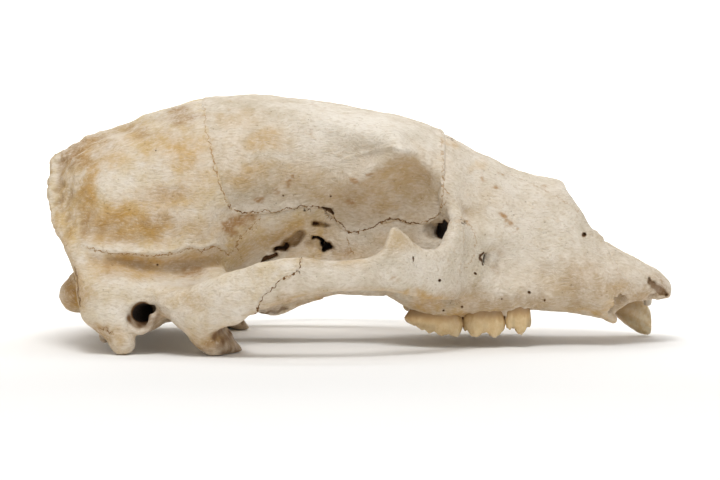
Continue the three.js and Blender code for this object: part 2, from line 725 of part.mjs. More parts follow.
// A solid from corners and triangles, with the triangles turned outward if they face inward.
function facing(corners, index) {
  let volume = 0;
  for (let i = 0; i < index.length; i += 3) {
    const [a, b, c] = [0, 1, 2].map((k) => new THREE.Vector3(...corners[index[i + k]]));
    volume += a.dot(b.cross(c));
  }
  const triVerts = volume > 0 ? index : index.slice().reverse();
  return new wasm.Manifold(
    new wasm.Mesh({
      numProp: 3,
      vertProperties: new Float32Array(corners.flat()),
      triVerts: new Uint32Array(triVerts),
    }),
  );
}

// A tube through points [x, y, z, radius] with round ends, for teeth, roots and sockets.
function tube(points, around, squash = 1) {
  const corners = [];
  const index = [];
  const rings = [];
  points.forEach(([x, y, z, r], i) => {
    const [a, b] = [points[Math.max(i - 1, 0)], points[Math.min(i + 1, points.length - 1)]];
    const along = new THREE.Vector3(b[0] - a[0], b[1] - a[1], b[2] - a[2]).normalize();
    const across = new THREE.Vector3(0, 1, 0).cross(along).normalize();
    const other = new THREE.Vector3().crossVectors(along, across);
    const first = i === 0;
    const last = i === points.length - 1;
    const levels = first ? [[-0.8, 0.6], [0, 1]] : last ? [[0, 1], [0.8, 0.6]] : [[0, 1]];
    for (const [shift, scale] of levels) {
      rings.push(corners.length);
      for (let k = 0; k < around; k++) {
        const turn = (2 * Math.PI * k) / around;
        const [c, s] = [Math.cos(turn) * r * scale, Math.sin(turn) * r * scale * squash];
        corners.push([
          x + across.x * c + other.x * s + along.x * shift * r,
          y + across.y * c + other.y * s + along.y * shift * r,
          z + across.z * c + other.z * s + along.z * shift * r,
        ]);
      }
    }
  });
  for (let i = 0; i + 1 < rings.length; i++)
    for (let k = 0; k < around; k++) {
      const n = (k + 1) % around;
      const [a, b, c, d] = [rings[i] + k, rings[i] + n, rings[i + 1] + n, rings[i + 1] + k];
      index.push(a, b, c, a, c, d);
    }
  for (const [ring, flip] of [[rings[0], true], [rings[rings.length - 1], false]])
    for (let k = 1; k + 1 < around; k++)
      index.push(...(flip ? [ring, ring + k + 1, ring + k] : [ring, ring + k, ring + k + 1]));
  return facing(corners, index);
}

const SECTION_STEPS = 18; // corners round a cheek tooth

// A cheek tooth hanging from its neck: rounded rings, then a chewing face with cusps.
// Each cusp is [along, across, height] with the first two as shares of length and width.
// The crown gets lower towards its rear end by heel.
function cheekTooth({ x, y, length, width, neck, tip, taper, heel, cusps }) {
  const height = neck - tip;
  const levels = [
    [-5, 0.6],
    [0, 0.78],
    [height * 0.3, 0.88],
    [height * 0.56, 1],
    [height * 0.68, 0.95],
    [height * 0.72, 0.7],
    [height * 0.7, 0.34],
  ];
  const lowered = (u, drop) => heel * Math.min(Math.max(-0.08 - u, 0) / 0.4, 1) * Math.max(drop / height, 0);
  const corners = [];
  const index = [];
  const raise = (u, v) => {
    let most = 0;
    for (const [along, across, rise] of cusps) {
      const away = Math.hypot((u - along) / 0.17, (v - across) / 0.24);
      most = Math.max(most, rise * Math.exp(-away * away));
    }
    return most * height * 0.34;
  };
  const section = (turn) => {
    const [c, s] = [Math.cos(turn), Math.sin(turn)];
    const soft = (n) => Math.sign(n) * Math.pow(Math.abs(n), 0.72);
    return [soft(c) / 2, soft(s) / 2];
  };
  levels.forEach(([drop, scale], i) => {
    for (let k = 0; k < SECTION_STEPS; k++) {
      const [u, v] = section((2 * Math.PI * k) / SECTION_STEPS).map((n) => n * scale);
      const chewed = i > 3 ? raise(u, v) : 0;
      const z = neck - drop - chewed + lowered(u, drop);
      corners.push([x + u * length, y + v * width * (1 + taper * u), z]);
    }
  });
  corners.push([x, y, neck - height * 0.68 - raise(0, 0)], [x, y, neck + 5]);
  const [face, root] = [corners.length - 2, corners.length - 1];
  const lastRing = (levels.length - 1) * SECTION_STEPS;
  for (let k = 0; k < SECTION_STEPS; k++) {
    const n = (k + 1) % SECTION_STEPS;
    for (let ring = 0; ring < lastRing; ring += SECTION_STEPS) {
      const [a, b, c, d] = [ring + k, ring + n, ring + SECTION_STEPS + n, ring + SECTION_STEPS + k];
      index.push(a, b, c, a, c, d);
    }
    index.push(lastRing + k, lastRing + n, face, n, k, root);
  }
  return facing(corners, index);
}

// Teeth of one side, named from front to back
const CHEEK_TEETH = [
  {
    name: "premolar", x: 71.7, y: 26.6, length: 12, width: 9, neck: 19.4, tip: 6, taper: 0.1, heel: 1.6,
    cusps: [[0.06, 0.3, 1], [-0.3, 0.28, 0.7], [-0.22, -0.3, 0.5]],
  },
  {
    name: "first molar", x: 56.3, y: 26, length: 18.6, width: 13.2, neck: 17.4, tip: 5, taper: 0, heel: 0,
    cusps: [[0.24, 0.34, 1], [-0.2, 0.34, 0.96], [0.26, -0.34, 0.7], [-0.18, -0.34, 0.66], [-0.44, 0.1, 0.4]],
  },
  {
    name: "second molar", x: 33.6, y: 25.6, length: 26.8, width: 14.6, neck: 16.6, tip: 5.2, taper: 0.42, heel: 4.6,
    cusps: [[0.34, 0.34, 1], [0.08, 0.34, 0.85], [0.34, -0.34, 0.7], [0.06, -0.34, 0.6], [-0.2, 0.2, 0.5], [-0.42, 0, 0.42]],
  },
];
const MIRROR = { left: 1, right: -1 };

// Far (left) canine, worn blunt; on the right side only its socket is left.
const CANINE = [
  [104, 22, 34, 5],
  [113.5, 21.6, 24.5, 6.5],
  [122, 21.2, 17, 6.9],
  [129.4, 20.8, 10.2, 7],
  [133.4, 20.6, 4.6, 4.6],
  [135.2, 20.5, 1.8, 2.4],
];
const CANINE_SOCKET = [
  [103, -21.5, 35, 4],
  [109, -21.8, 28, 5.4],
  [115.5, -22.2, 20, 6.2],
  [122, -22.6, 11, 7],
];
// The inner wall of that socket stands lower than its broken outer wall.
const SOCKET_WALL = [
  [105.5, -15.4, 18.5, 2.6],
  [111.5, -16.2, 14.6, 2.4],
  [115.8, -16.8, 11.6, 2.4],
];
// Empty sockets of the six front teeth, as [x, y, radius]. The left outer one holds a stub.
const INCISORS = [
  [139.2, 3.4, 1.7],
  [138, 8.6, 1.9],
  [134.6, 13.8, 2.5],
];
const INCISOR_STUB = [
  [133.4, 13.8, 24, 2.9],
  [134.4, 13.8, 16.4, 2.1],
];

const half = solidFrom(thin(surfaceOf(sampleField(bone)), HALF_FACES));
const WIDE = 400; // a block larger than the skull
const leftSpace = solidOf(new THREE.BoxGeometry(WIDE, WIDE, WIDE).translate(0, WIDE / 2, 0));
const leftHalf = largest(half.intersect(leftSpace));
let skull = leftHalf.add(leftHalf.mirror([0, 1, 0]));

// The cheek bone is the part of the arch ahead of its own suture and beside the face.
const CHEEK_SUTURE = [[-24.5, 60], [-25.3, 45.1], [-26.6, 39.8], [-37.1, 33.7], [-42.8, 27.9], [-45.9, 21.2], [-50, 8]];
function cheekRegion(side, gap) {
  const flip = MIRROR[side];
  const outline = [...CHEEK_SUTURE, [70, 8], [70, 60]].map(([x, z]) => new THREE.Vector2(x, z));
  const prism = new THREE.ExtrudeGeometry(new THREE.Shape(outline), { depth: 65, bevelEnabled: false });
  prism.rotateX(Math.PI / 2);
  prism.translate(gap * 1.4, 100, 0);
  const region = solidOf(prism)
    .trimByPlane([-0.69, 0.69, 0.2], -0.69 * 36 + 0.69 * 44 + 0.2 * 28 + gap)
    .trimByPlane([0.15, 0.5, -0.87], 0.15 * 43.5 + 0.5 * 42.5 - 0.87 * 57 + gap);
  return flip > 0 ? region : region.mirror([0, 1, 0]);
}
const cheekbones = {};
for (const side of Object.keys(MIRROR)) {
  cheekbones[side] = largest(skull.intersect(cheekRegion(side, SUTURE_GAP)));
  skull = largest(skull.subtract(cheekRegion(side, 0)));
}

// Sockets, before the bones are parted
skull = skull.subtract(tube(CANINE_SOCKET, 14, 0.8));
for (const flip of Object.values(MIRROR))
  for (const [x, y, r] of INCISORS)
    skull = skull.subtract(tube([[x - 3.2, y * flip, 27, r * 0.7], [x, y * flip, 20, r], [x + 1, y * flip, 15, r]], 8));

// Sutures seen from the side: round the forehead, down to the throat, and behind the nose tip
const acrossSkull = (u, v, w) => [u, w, v];
const FOREHEAD_SUTURE = [
  [-72, 125], [-71.1, 109.6], [-68.7, 96.7], [-66.1, 85.8], [-61.9, 72.6], [-59.3, 65], [-54, 61.7],
  [-44, 61.8], [-35, 63], [-27, 64.3], [-17, 63.8], [-12, 60], [-7, 53.2], [-2, 51.4], [5.5, 54.5],
  [11.3, 57], [16.5, 59], [23.5, 56.6], [31, 57.6], [36.4, 61], [36.9, 76], [37.2, 89.9], [37.4, 125],
];
const THROAT_SUTURE = [[-17, 63.8], [-17, 50], [-18, 34], [-17.6, 0]];
const NOSE_TIP_SUTURE = [[106, 68], [111, 46], [116, 36], [125.5, 24], [127, 0]];
for (const [line, reach] of [[FOREHEAD_SUTURE, 100], [THROAT_SUTURE, 50], [NOSE_TIP_SUTURE, 40]])
  skull = skull.subtract(sutureWall(line, -reach, reach, acrossSkull));

const centreX = (solid) => (solid.boundingBox().min[0] + solid.boundingBox().max[0]) / 2;
const pieces = skull.decompose().sort((a, b) => b.volume() - a.volume()).slice(0, 4);
let [braincase, ...others] = pieces.sort((a, b) => centreX(a) - centreX(b));
const forehead = others.sort((a, b) => b.boundingBox().max[2] - a.boundingBox().max[2]).shift();
let [maxilla, premaxilla] = others.sort((a, b) => centreX(a) - centreX(b));

// Teeth grow from the upper jaw, and each of them is sunk into it.
for (const flip of Object.values(MIRROR))
  for (const [i, tooth] of CHEEK_TEETH.entries()) {
    const wear = flip > 0 ? 0.25 * i : 0; // the left teeth are worn a little more
    maxilla = maxilla.add(cheekTooth({ ...tooth, y: tooth.y * flip, tip: tooth.tip + wear,
      cusps: tooth.cusps.map(([u, v, rise]) => [u, v * flip, rise]) }));
  }
maxilla = maxilla.add(tube(CANINE, 14, 0.85)).add(tube(SOCKET_WALL, 8));
premaxilla = premaxilla.subtract(tube(CANINE.map(([x, y, z, r]) => [x, y, z, r + 0.4]), 14, 0.9));
premaxilla = premaxilla.add(tube(INCISOR_STUB, 8));

// Whatever reaches the resting surface ends there in a small flat.
const under = solidOf(new THREE.BoxGeometry(WIDE, WIDE, 20).translate(0, 0, FLOOR - 10));
const BONE = "#d8ccb2";
const nodes = [
  ["braincase", braincase, "#c9b48f"],
  ["forehead", forehead, BONE],
  ["snout", maxilla, "#d9cfb9"],
  ["premaxilla", premaxilla, "#cfc4ab"],
  ["cheekbone_left", cheekbones.left, "#ddd4c0"],
  ["cheekbone_right", cheekbones.right, "#ddd4c0"],
];

function meshOf(solid, name, colour) {
  const { vertProperties, triVerts } = solid.getMesh();
  const geometry = new THREE.BufferGeometry();
  geometry.setAttribute("position", new THREE.BufferAttribute(new Float32Array(vertProperties), 3));
  geometry.setIndex(new THREE.BufferAttribute(new Uint32Array(triVerts), 1));
  geometry.computeVertexNormals();
  const material = new THREE.MeshStandardMaterial({ color: colour, roughness: 0.7, metalness: 0 });
  const mesh = new THREE.Mesh(geometry, material);
  mesh.name = name;
  return mesh;
}

const group = new THREE.Group();
for (const [name, solid, colour] of nodes)
  group.add(meshOf(largest(solid.subtract(under)), name, colour));
export default group;
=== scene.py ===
"""Dresses the bones of a black bear skull and sets a plain studio round them."""

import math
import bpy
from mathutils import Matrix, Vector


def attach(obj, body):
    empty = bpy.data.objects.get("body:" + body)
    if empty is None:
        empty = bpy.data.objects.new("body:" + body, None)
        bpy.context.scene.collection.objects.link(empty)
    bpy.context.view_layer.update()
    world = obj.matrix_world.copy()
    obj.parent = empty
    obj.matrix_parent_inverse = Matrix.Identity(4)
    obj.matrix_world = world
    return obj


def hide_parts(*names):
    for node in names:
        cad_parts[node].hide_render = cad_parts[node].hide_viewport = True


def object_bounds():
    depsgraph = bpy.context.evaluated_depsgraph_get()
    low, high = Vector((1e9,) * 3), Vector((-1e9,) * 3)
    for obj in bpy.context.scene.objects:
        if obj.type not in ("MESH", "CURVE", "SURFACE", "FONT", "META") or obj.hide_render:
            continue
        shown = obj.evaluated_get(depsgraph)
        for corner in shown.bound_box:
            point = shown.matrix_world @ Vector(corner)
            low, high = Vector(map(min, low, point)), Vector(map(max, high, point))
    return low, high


bl_info = {
    "name": "Black bear skull",
    "version": (1, 0, 0),
    "blender": (4, 5, 0),
    "location": "3D View > Sidebar > Skull",
    "description": "Makes the bones, teeth and studio of a black bear skull, one step at a time",
    "category": "Object",
}

from contextlib import contextmanager

import bpy
import numpy as np
from mathutils import Vector
from mathutils.bvhtree import BVHTree

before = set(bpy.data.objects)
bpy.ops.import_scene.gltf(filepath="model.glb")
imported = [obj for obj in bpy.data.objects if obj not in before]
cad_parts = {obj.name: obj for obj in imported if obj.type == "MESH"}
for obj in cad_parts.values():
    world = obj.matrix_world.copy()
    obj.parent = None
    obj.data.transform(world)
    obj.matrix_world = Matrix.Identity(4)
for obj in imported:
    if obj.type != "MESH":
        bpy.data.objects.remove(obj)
CAD_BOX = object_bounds()
MM = 0.001
FAR = 99.0  # mm, further than any bone reaches

# The view from the animal's right, in which the places of seams and stains are given.
VIEW_AWAY = 1.5
VIEW_RISE = math.radians(4.5)
VIEW_AIM = (0.0, 0.0, 0.0467)
VIEW_LENS = 162.5
VIEW_SENSOR = 36.0
VIEW_SIZE = (720, 480)
DOTS_PER_MM = VIEW_LENS / VIEW_SENSOR * VIEW_SIZE[0] / VIEW_AWAY * MM


def linear(hex_colour):
    """An sRGB hex colour as the linear colour that shaders work in."""
    parts = [int(hex_colour[i : i + 2], 16) / 255 for i in (1, 3, 5)]
    lit = (c / 12.92 if c <= 0.04045 else ((c + 0.055) / 1.055) ** 2.4 for c in parts)
    return (*lit, 1.0)


def colour_setting(name, description, hex_colour):
    return bpy.props.FloatVectorProperty(
        name=name, description=description, default=linear(hex_colour),
        subtype="COLOR", size=4, min=0.0, max=1.0,
    )


def length_setting(name, description, millimetres):
    return bpy.props.FloatProperty(
        name=name, description=description, default=millimetres * MM,
        subtype="DISTANCE", unit="LENGTH",
    )


def amount_setting(name, description, default, unit="NONE"):
    return bpy.props.FloatProperty(name=name, description=description, default=default, unit=unit)


class BoneSettings(bpy.types.PropertyGroup):
    braincase_grain: length_setting("Braincase grain", "Face size of the braincase skin", 0.88)
    forehead_grain: length_setting("Forehead grain", "Face size of the forehead skin", 0.66)
    snout_grain: length_setting("Snout grain", "Face size of the snout skin", 0.76)
    small_grain: length_setting("Small bone grain", "Face size of the small bones' skin", 0.5)
    seam_reach: length_setting("Seam reach", "How far from a cut the bone is drawn over it", 4)
    seam_overlap: length_setting("Seam overlap", "How far bones run into each other at seams", 1.5)
    seam_wander: length_setting("Seam wander", "How far a seam line swings", 0.7)
    cream: colour_setting("Clean bone", "Bleached bone of the face and arches", "#DACFBF")
    ivory: colour_setting("Ivory bone", "Slightly darker patches of clean bone", "#CAB68F")
    grey: colour_setting("Grey bone", "Aged bone of the forehead and the muzzle", "#C1B49D")
    # Ochre is also laid on every face that turns down: partly painted shade under the bone, partly
    # stain.
    ochre: colour_setting("Ochre", "Soil and grease stain on the braincase", "#C0933F")
    # Brown is stain on the braincase and by the crest, and painted shade in hollows, between the
    # teeth, under the arch and on the front of the jaw socket's foot.
    brown: colour_setting("Brown", "Dark stain in hollows and by the crest", "#98713D")
    rust: colour_setting("Rust", "Small orange flecks", "#A88153")
    # Chalk is pale bone in some patches, and painted highlight on the tops that face the light and
    # on ridges.
    chalk_and_highlight: colour_setting("Chalk", "Pale polished patches", "#EAE3D7")
    # Painted shade, near black, for holes, deep hollows and the ear opening.
    hole_shade: colour_setting("Hole shade", "Dirt in seams and small holes", "#1E150E")


class ToothSettings(bpy.types.PropertyGroup):
    enamel: colour_setting("Enamel", "Worn enamel of the cheek teeth", "#D2B98C")
    dentine: colour_setting("Dentine", "Roots, necks and worn faces", "#A9814C")
    old_enamel: colour_setting("Old enamel", "Grey brown enamel of the canine", "#D6C5A2")


class StudioSettings(bpy.types.PropertyGroup):
    floor: colour_setting("Floor", "Pale floor and backdrop", "#F4F3F1")
    key_power: amount_setting("Key light", "Power of the main soft light", 10.0, "POWER")
    backdrop_power: amount_setting(
        "Backdrop light", "Power of the light on the backdrop", 90.0, "POWER"
    )
    sky_strength: amount_setting("Sky", "Brightness of the even light all round", 0.55)


# Reading and writing mesh points

def read(items, name, width, kind=np.float64):
    values = np.empty(len(items) * width, np.float32 if kind is np.float64 else kind)
    items.foreach_get(name, values)
    return values.astype(kind).reshape(-1, width) if width > 1 else values.astype(kind)


def places_of(piece):
    return read(piece.data.vertices, "co", 3)


def normals_of(piece):
    return read(piece.data.vertex_normals, "vector", 3)


def set_places(piece, places):
    piece.data.vertices.foreach_set("co", places.astype(np.float32).ravel())
    piece.data.update()


def set_mark(piece, name, values):
    """Keeps one number per point for the materials to read."""
    mark = piece.data.attributes.get(name) or piece.data.attributes.new(name, "FLOAT", "POINT")
    mark.data.foreach_set("value", np.clip(values, 0, 1).astype(np.float32))


def neighbour_mean(edges, count, values):
    """The mean of each point's neighbours."""
    total = np.empty_like(values)
    for axis in range(values.shape[1]):
        total[:, axis] = np.bincount(edges[:, 0], values[edges[:, 1], axis], len(values))
        total[:, axis] += np.bincount(edges[:, 1], values[edges[:, 0], axis], len(values))
    return total / count[:, None]


def edges_of(piece):
    edges = read(piece.data.edges, "vertices", 2, np.int32)
    count = np.maximum(np.bincount(edges.ravel(), minlength=len(piece.data.vertices)), 1)
    return edges, count


def mottle(places, size_mm, seed, waves=16):
    """Uneven soft values between about -1 and 1, with lumps about size_mm wide."""
    chance = np.random.default_rng(seed)
    total = np.zeros(len(places))
    for _ in range(waves):
        run = chance.normal(size=3)
        run *= 2 * math.pi / (size_mm * MM * 2 * chance.uniform(0.6, 1.6)) / np.linalg.norm(run)
        total += np.sin(places @ run + chance.uniform(0, 2 * math.pi))
    return total / math.sqrt(waves)


def mottle_pair(places, size_mm, seed):
    """Two such values for each point, one to go across the view and one down."""
    return np.stack([mottle(places, size_mm, seed), mottle(places, size_mm, seed + 1)], 1)


def step_up(values, low, high):
    """Rises softly from 0 at low to 1 at high."""
    t = np.clip((values - low) / (high - low), 0, 1)
    return t * t * (3 - 2 * t)


# Selecting and shaping

def select_only(piece):
    bpy.ops.object.select_all(action="DESELECT")
    piece.select_set(True)
    bpy.context.view_layer.objects.active = piece


@contextmanager
def editing(piece, kind="VERT", action="SELECT", faces=None):
    """Edit mode on one piece, with all or nothing of it selected, or only some faces."""
    select_only(piece)
    bpy.ops.object.mode_set(mode="EDIT")
    bpy.ops.mesh.select_mode(type=kind)
    bpy.ops.mesh.select_all(action=action)
    if faces is not None:
        bpy.ops.object.mode_set(mode="OBJECT")
        piece.data.polygons.foreach_set("select", faces)
        bpy.ops.object.mode_set(mode="EDIT")
    yield
    bpy.ops.object.mode_set(mode="OBJECT")


def shape_with(piece, kind, **settings):
    """Adds a modifier and applies it."""
    select_only(piece)
    modifier = piece.modifiers.new(kind.title(), kind)
    for key, value in settings.items():
        setattr(modifier, key, value)
    bpy.ops.object.modifier_apply(modifier=modifier.name)


def bone_from(node, name):
    """A piece of its own that starts with the shape of a CAD node."""
    piece = bpy.data.objects.new(name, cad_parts[node].data.copy())
    piece.data.name = name
    piece.data.materials.clear()
    bpy.context.scene.collection.objects.link(piece)
    select_only(piece)
    if piece.data.has_custom_normals:
        bpy.ops.mesh.customdata_custom_splitnormals_clear()
    with editing(piece):
        bpy.ops.mesh.remove_doubles(threshold=1e-6)
    return piece


def cut_block(piece, low, high):
    """Takes a block given by its corners in millimetres out of a piece."""
    middle = [(a + b) / 2 * MM for a, b in zip(low, high)]
    size = [(b - a) * MM for a, b in zip(low, high)]
    bpy.ops.object.select_all(action="DESELECT")
    bpy.ops.mesh.primitive_cube_add(size=1, location=middle, scale=size)
    block = bpy.context.object
    shape_with(piece, "BOOLEAN", operation="DIFFERENCE", solver="EXACT", object=block)
    bpy.data.objects.remove(block)


def fine_skin(piece, grain, rounds, lumps):
    """Gives a piece small even faces, and takes off its facets without shrinking it."""
    shape_with(piece, "SUBSURF", levels=1, render_levels=1)
    if lumps:
        add_lumps(piece, lumps)
    shape_with(piece, "REMESH", mode="VOXEL", voxel_size=grain)
    places = places_of(piece)
    edges, count = edges_of(piece)
    for _ in range(rounds):
        for step in (0.55, -0.57):
            places += step * (neighbour_mean(edges, count, places) - places)
    set_places(piece, places)


def gap_to_neighbours(piece, node, reach):
    """For each point, the distance to the other bones, up to reach."""
    corners, faces = [], []
    for other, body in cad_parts.items():
        if other != node:
            faces += [[v + len(corners) for v in face.vertices] for face in body.data.polygons]
            corners += [tuple(v.co) for v in body.data.vertices]
    tree = BVHTree.FromPolygons(corners, faces)
    found = (tree.find_nearest(place, reach)[3] for place in places_of(piece).tolist())
    return np.array([reach if gap is None else gap for gap in found])


def crease_cuts(piece, node):
    """Marks the edges of the cuts, so that they stay crisp when the faces are rounded."""
    close = gap_to_neighbours(piece, node, 0.6 * MM) < 0.5 * MM
    with editing(piece, "EDGE", "DESELECT"):
        bpy.ops.mesh.edges_select_sharp(sharpness=math.radians(30))
    sharp = read(piece.data.edges, "select", 1, bool)
    edges = read(piece.data.edges, "vertices", 2, np.int32)
    mark = piece.data.attributes.new("crease_edge", "FLOAT", "EDGE")
    mark.data.foreach_set("value", (sharp & close[edges].all(axis=1)).astype(np.float32))


def add_lumps(piece, lumps):
    """Joins egg-shaped lumps [middle and half sizes in mm] to a piece, on both sides."""
    made = []
    for middle, size in lumps:
        for flip in (-1, 1):
            place = (middle[0] * MM, middle[1] * flip * MM, middle[2] * MM)
            bpy.ops.mesh.primitive_uv_sphere_add(
                segments=16, ring_count=10, radius=1, location=place, scale=[s * MM for s in size],
            )
            made.append(bpy.context.object)
    select_only(piece)
    for lump in made:
        lump.select_set(True)
    bpy.ops.object.join()


def close_seams(piece, node, sizes):
    """Draws a bone over its cuts and a little into its neighbours, so that no gap shows."""
    gap = gap_to_neighbours(piece, node, sizes.seam_reach)
    places = places_of(piece)
    off, across, _ = nearest_cut(places)
    push = sizes.seam_overlap * (1 - step_up(gap, 0.3 * sizes.seam_reach, sizes.seam_reach))
    set_places(piece, places - across * (np.where(off < 0, -1, 1) * push)[:, None])
    set_mark(piece, "near_cut", 1 - step_up(gap, 0.5 * sizes.seam_reach, sizes.seam_reach))


def seen(places):
    """Where points show in the view, as numbers across and down the picture.

    Points of the far side are taken as their mirror images on the near side."""
    x, y, z = places[:, 0], -np.abs(places[:, 1]), places[:, 2] - VIEW_AIM[2]
    away = VIEW_AWAY + y * math.cos(VIEW_RISE) - z * math.sin(VIEW_RISE)
    up = z * math.cos(VIEW_RISE) + y * math.sin(VIEW_RISE)
    scale = VIEW_LENS / VIEW_SENSOR * VIEW_SIZE[0] / away
    return np.stack([VIEW_SIZE[0] / 2 + x * scale, VIEW_SIZE[1] / 2 - up * scale], 1)


def line_distance(points, line):
    """Signed distance to an open line, how far along it points lie, and the way across it."""
    best = np.full(len(points), 1e9)
    along, off = np.zeros(len(points)), np.zeros(len(points))
    across = np.zeros((len(points), 2))
    run = 0.0
    for start, end in zip(line[:-1], line[1:]):
        a, b = np.array(start, float), np.array(end, float)
        length = np.linalg.norm(b - a)
        ahead = (b - a) / length
        side = np.array([ahead[1], -ahead[0]])
        offset = points - a
        t = np.clip(offset @ ahead, 0, length)
        gap = np.linalg.norm(offset - t[:, None] * ahead, axis=1)
        nearer = gap < best
        best[nearer] = gap[nearer]
        along[nearer] = run + t[nearer]
        off[nearer] = (gap * np.where(offset @ side < 0, -1, 1))[nearer]
        across[nearer] = side
        run += length
    return off, along, across


def wander(along, seed):
    """An uneven swing between -1 and 1, as a grown seam has."""
    return (
        0.5 * np.sin(along * 1.9 + seed)
        + 0.32 * np.sin(along * 4.1 + 2.3 * seed + 1.1)
        + 0.18 * np.sin(along * 7.7 + 5.1 * seed)
    )


# Cuts between the bones seen from the side, as [x, z, how plainly the seam shows] in mm
CUT_LINES = {
    "forehead": [
        (-72, 125, 0.25), (-71.1, 109.6, 0.28), (-68.7, 96.7, 0.4), (-66.1, 85.8, 0.45),
        (-61.9, 72.6, 0.5), (-59.3, 65, 0.65), (-54, 61.7, 0.8), (-44, 61.8, 0.75), (-35, 63, 0.95),
        (-27, 64.3, 0.9), (-17, 63.8, 1), (-12, 60, 1), (-7, 53.2, 1), (-2, 51.4, 1),
        (5.5, 54.5, 1), (11.3, 57, 1), (16.5, 59, 1), (23.5, 56.6, 1), (31, 57.6, 0.8),
        (36.4, 61, 0.5), (36.9, 76, 0.35), (37.2, 89.9, 0.3), (37.4, 125, 0.3),
    ],
    "throat": [(-17, 63.8, 0), (-17, 50, 0), (-18, 34, 0), (-17.6, 0, 0)],
    "nose_tip": [(106, 68, 0.1), (111, 46, 0.15), (116, 36, 0.2), (125.5, 24, 0.2), (127, 0, 0.1)],
    "cheek": [
        (-24.5, 60, 1), (-25.3, 45.1, 1), (-26.6, 39.8, 1), (-37.1, 33.7, 1), (-42.8, 27.9, 1),
        (-45.9, 21.2, 1), (-50, 8, 1),
    ],
}
# The cuts in front of the cheek bone are flat: a direction and a place in mm, and how plainly
# they show. Each counts only within this reach of its place.
CUT_PLANES = {
    "cheek_front": ((-0.69, 0.69, 0.2), (36, 44, 28), 0.25),
    "cheek_top": ((0.15, 0.5, -0.87), (43.5, 42.5, 57), 0.2),
}
PLANE_REACH = 30


def nearest_cut(places):
    """Signed distance in mm to the nearest cut, the way across it, and how plainly it shows."""
    flat, folded = places[:, [0, 2]] / MM, places / MM
    folded[:, 1] = np.abs(folded[:, 1])
    side = np.where(places[:, 1] < 0, -1, 1)
    off, show = np.full(len(places), FAR), np.zeros(len(places))
    across = np.zeros((len(places), 3))
    for line in CUT_LINES.values():
        keys = np.array(line, float)
        gap, along, way = line_distance(flat, keys[:, :2])
        lengths = np.linalg.norm(np.diff(keys[:, :2], axis=0), axis=1)
        runs = np.concatenate([[0], np.cumsum(lengths)])
        nearer = np.abs(gap) < np.abs(off)
        off[nearer] = gap[nearer]
        show[nearer] = np.interp(along, runs, keys[:, 2])[nearer]
        across[nearer] = np.insert(way, 1, 0, axis=1)[nearer]
    for way, point, plain in CUT_PLANES.values():
        gap = (folded - point) @ np.array(way)
        close = np.linalg.norm(folded - point, axis=1) < PLANE_REACH
        nearer = (np.abs(gap) < np.abs(off)) & close
        off[nearer] = gap[nearer]
        show[nearer] = plain
        across[nearer] = way
        across[nearer, 1] *= side[nearer]
    return off, across, show


SEAM_SPAN = 8  # mm that the marks of a seam reach over, half of them on each side of it
# Seams drawn on the bone, as they show in the side view: the channel that carries each, how
# plainly it shows, how far it swings in mm, and its line. Seams that come close to each other
# are on different channels.
SEAM_LINES = {
    "squamosal": ("a", 0.5, 1.4, [
        (84, 247), (95, 250), (110, 253.5), (132, 254.6), (153.7, 255.6), (175.4, 253.5),
        (188.5, 248), (201.5, 251.3), (214.6, 245.9), (229.8, 254.6), (236.3, 245.9),
        (240.7, 237.2), (249.3, 228.5), (259, 219.8), (262, 214),
    ]),
    "squamosal_end": ("b", 0.45, 0.8, [(235, 243), (240.7, 256.7), (246, 266)]),
    "sphenoid": ("b", 0.6, 0.6, [(330, 209), (336, 226), (345, 236)]),
    "sphenoid_low": ("a", 0.5, 0.6, [(346, 233), (349, 246), (356, 258)]),
    "cheek_front": ("a", 0.3, 0.9, [
        (455, 213), (462, 219), (471, 226), (476.5, 241.5), (473.3, 256.7), (464.6, 269.8),
        (452, 279),
    ]),
    "tear_bone": ("b", 0.4, 0.8, [(442, 185), (449, 194), (445, 204), (447, 214)]),
    "nose_bone": ("a", 0.25, 0.4, [(500, 171), (530, 183), (556, 196), (584, 215)]),
    "mastoid_crack": ("a", 0.7, 2.4, [(96, 326), (101, 329), (106, 328), (110, 332), (116, 335)]),
}
# [across, down, radius, depth in mm] of small holes for vessels
SMALL_HOLES = [
    (584, 235, 1, 2.2), (439.6, 280.7, 0.7, 1.6), (475.4, 274, 0.6, 1.4), (529, 292.6, 0.65, 1.4),
    (444, 310.4, 0.5, 1.2), (487.4, 312.8, 0.55, 1.2), (462, 306.7, 0.5, 1.1), (283, 196, 0.4, 0.8),
    (157.5, 265, 0.5, 1), (156, 151, 0.4, 0.6), (545, 300, 0.45, 0.9), (502, 299, 0.4, 0.8),
    (330, 196, 0.5, 1),
]
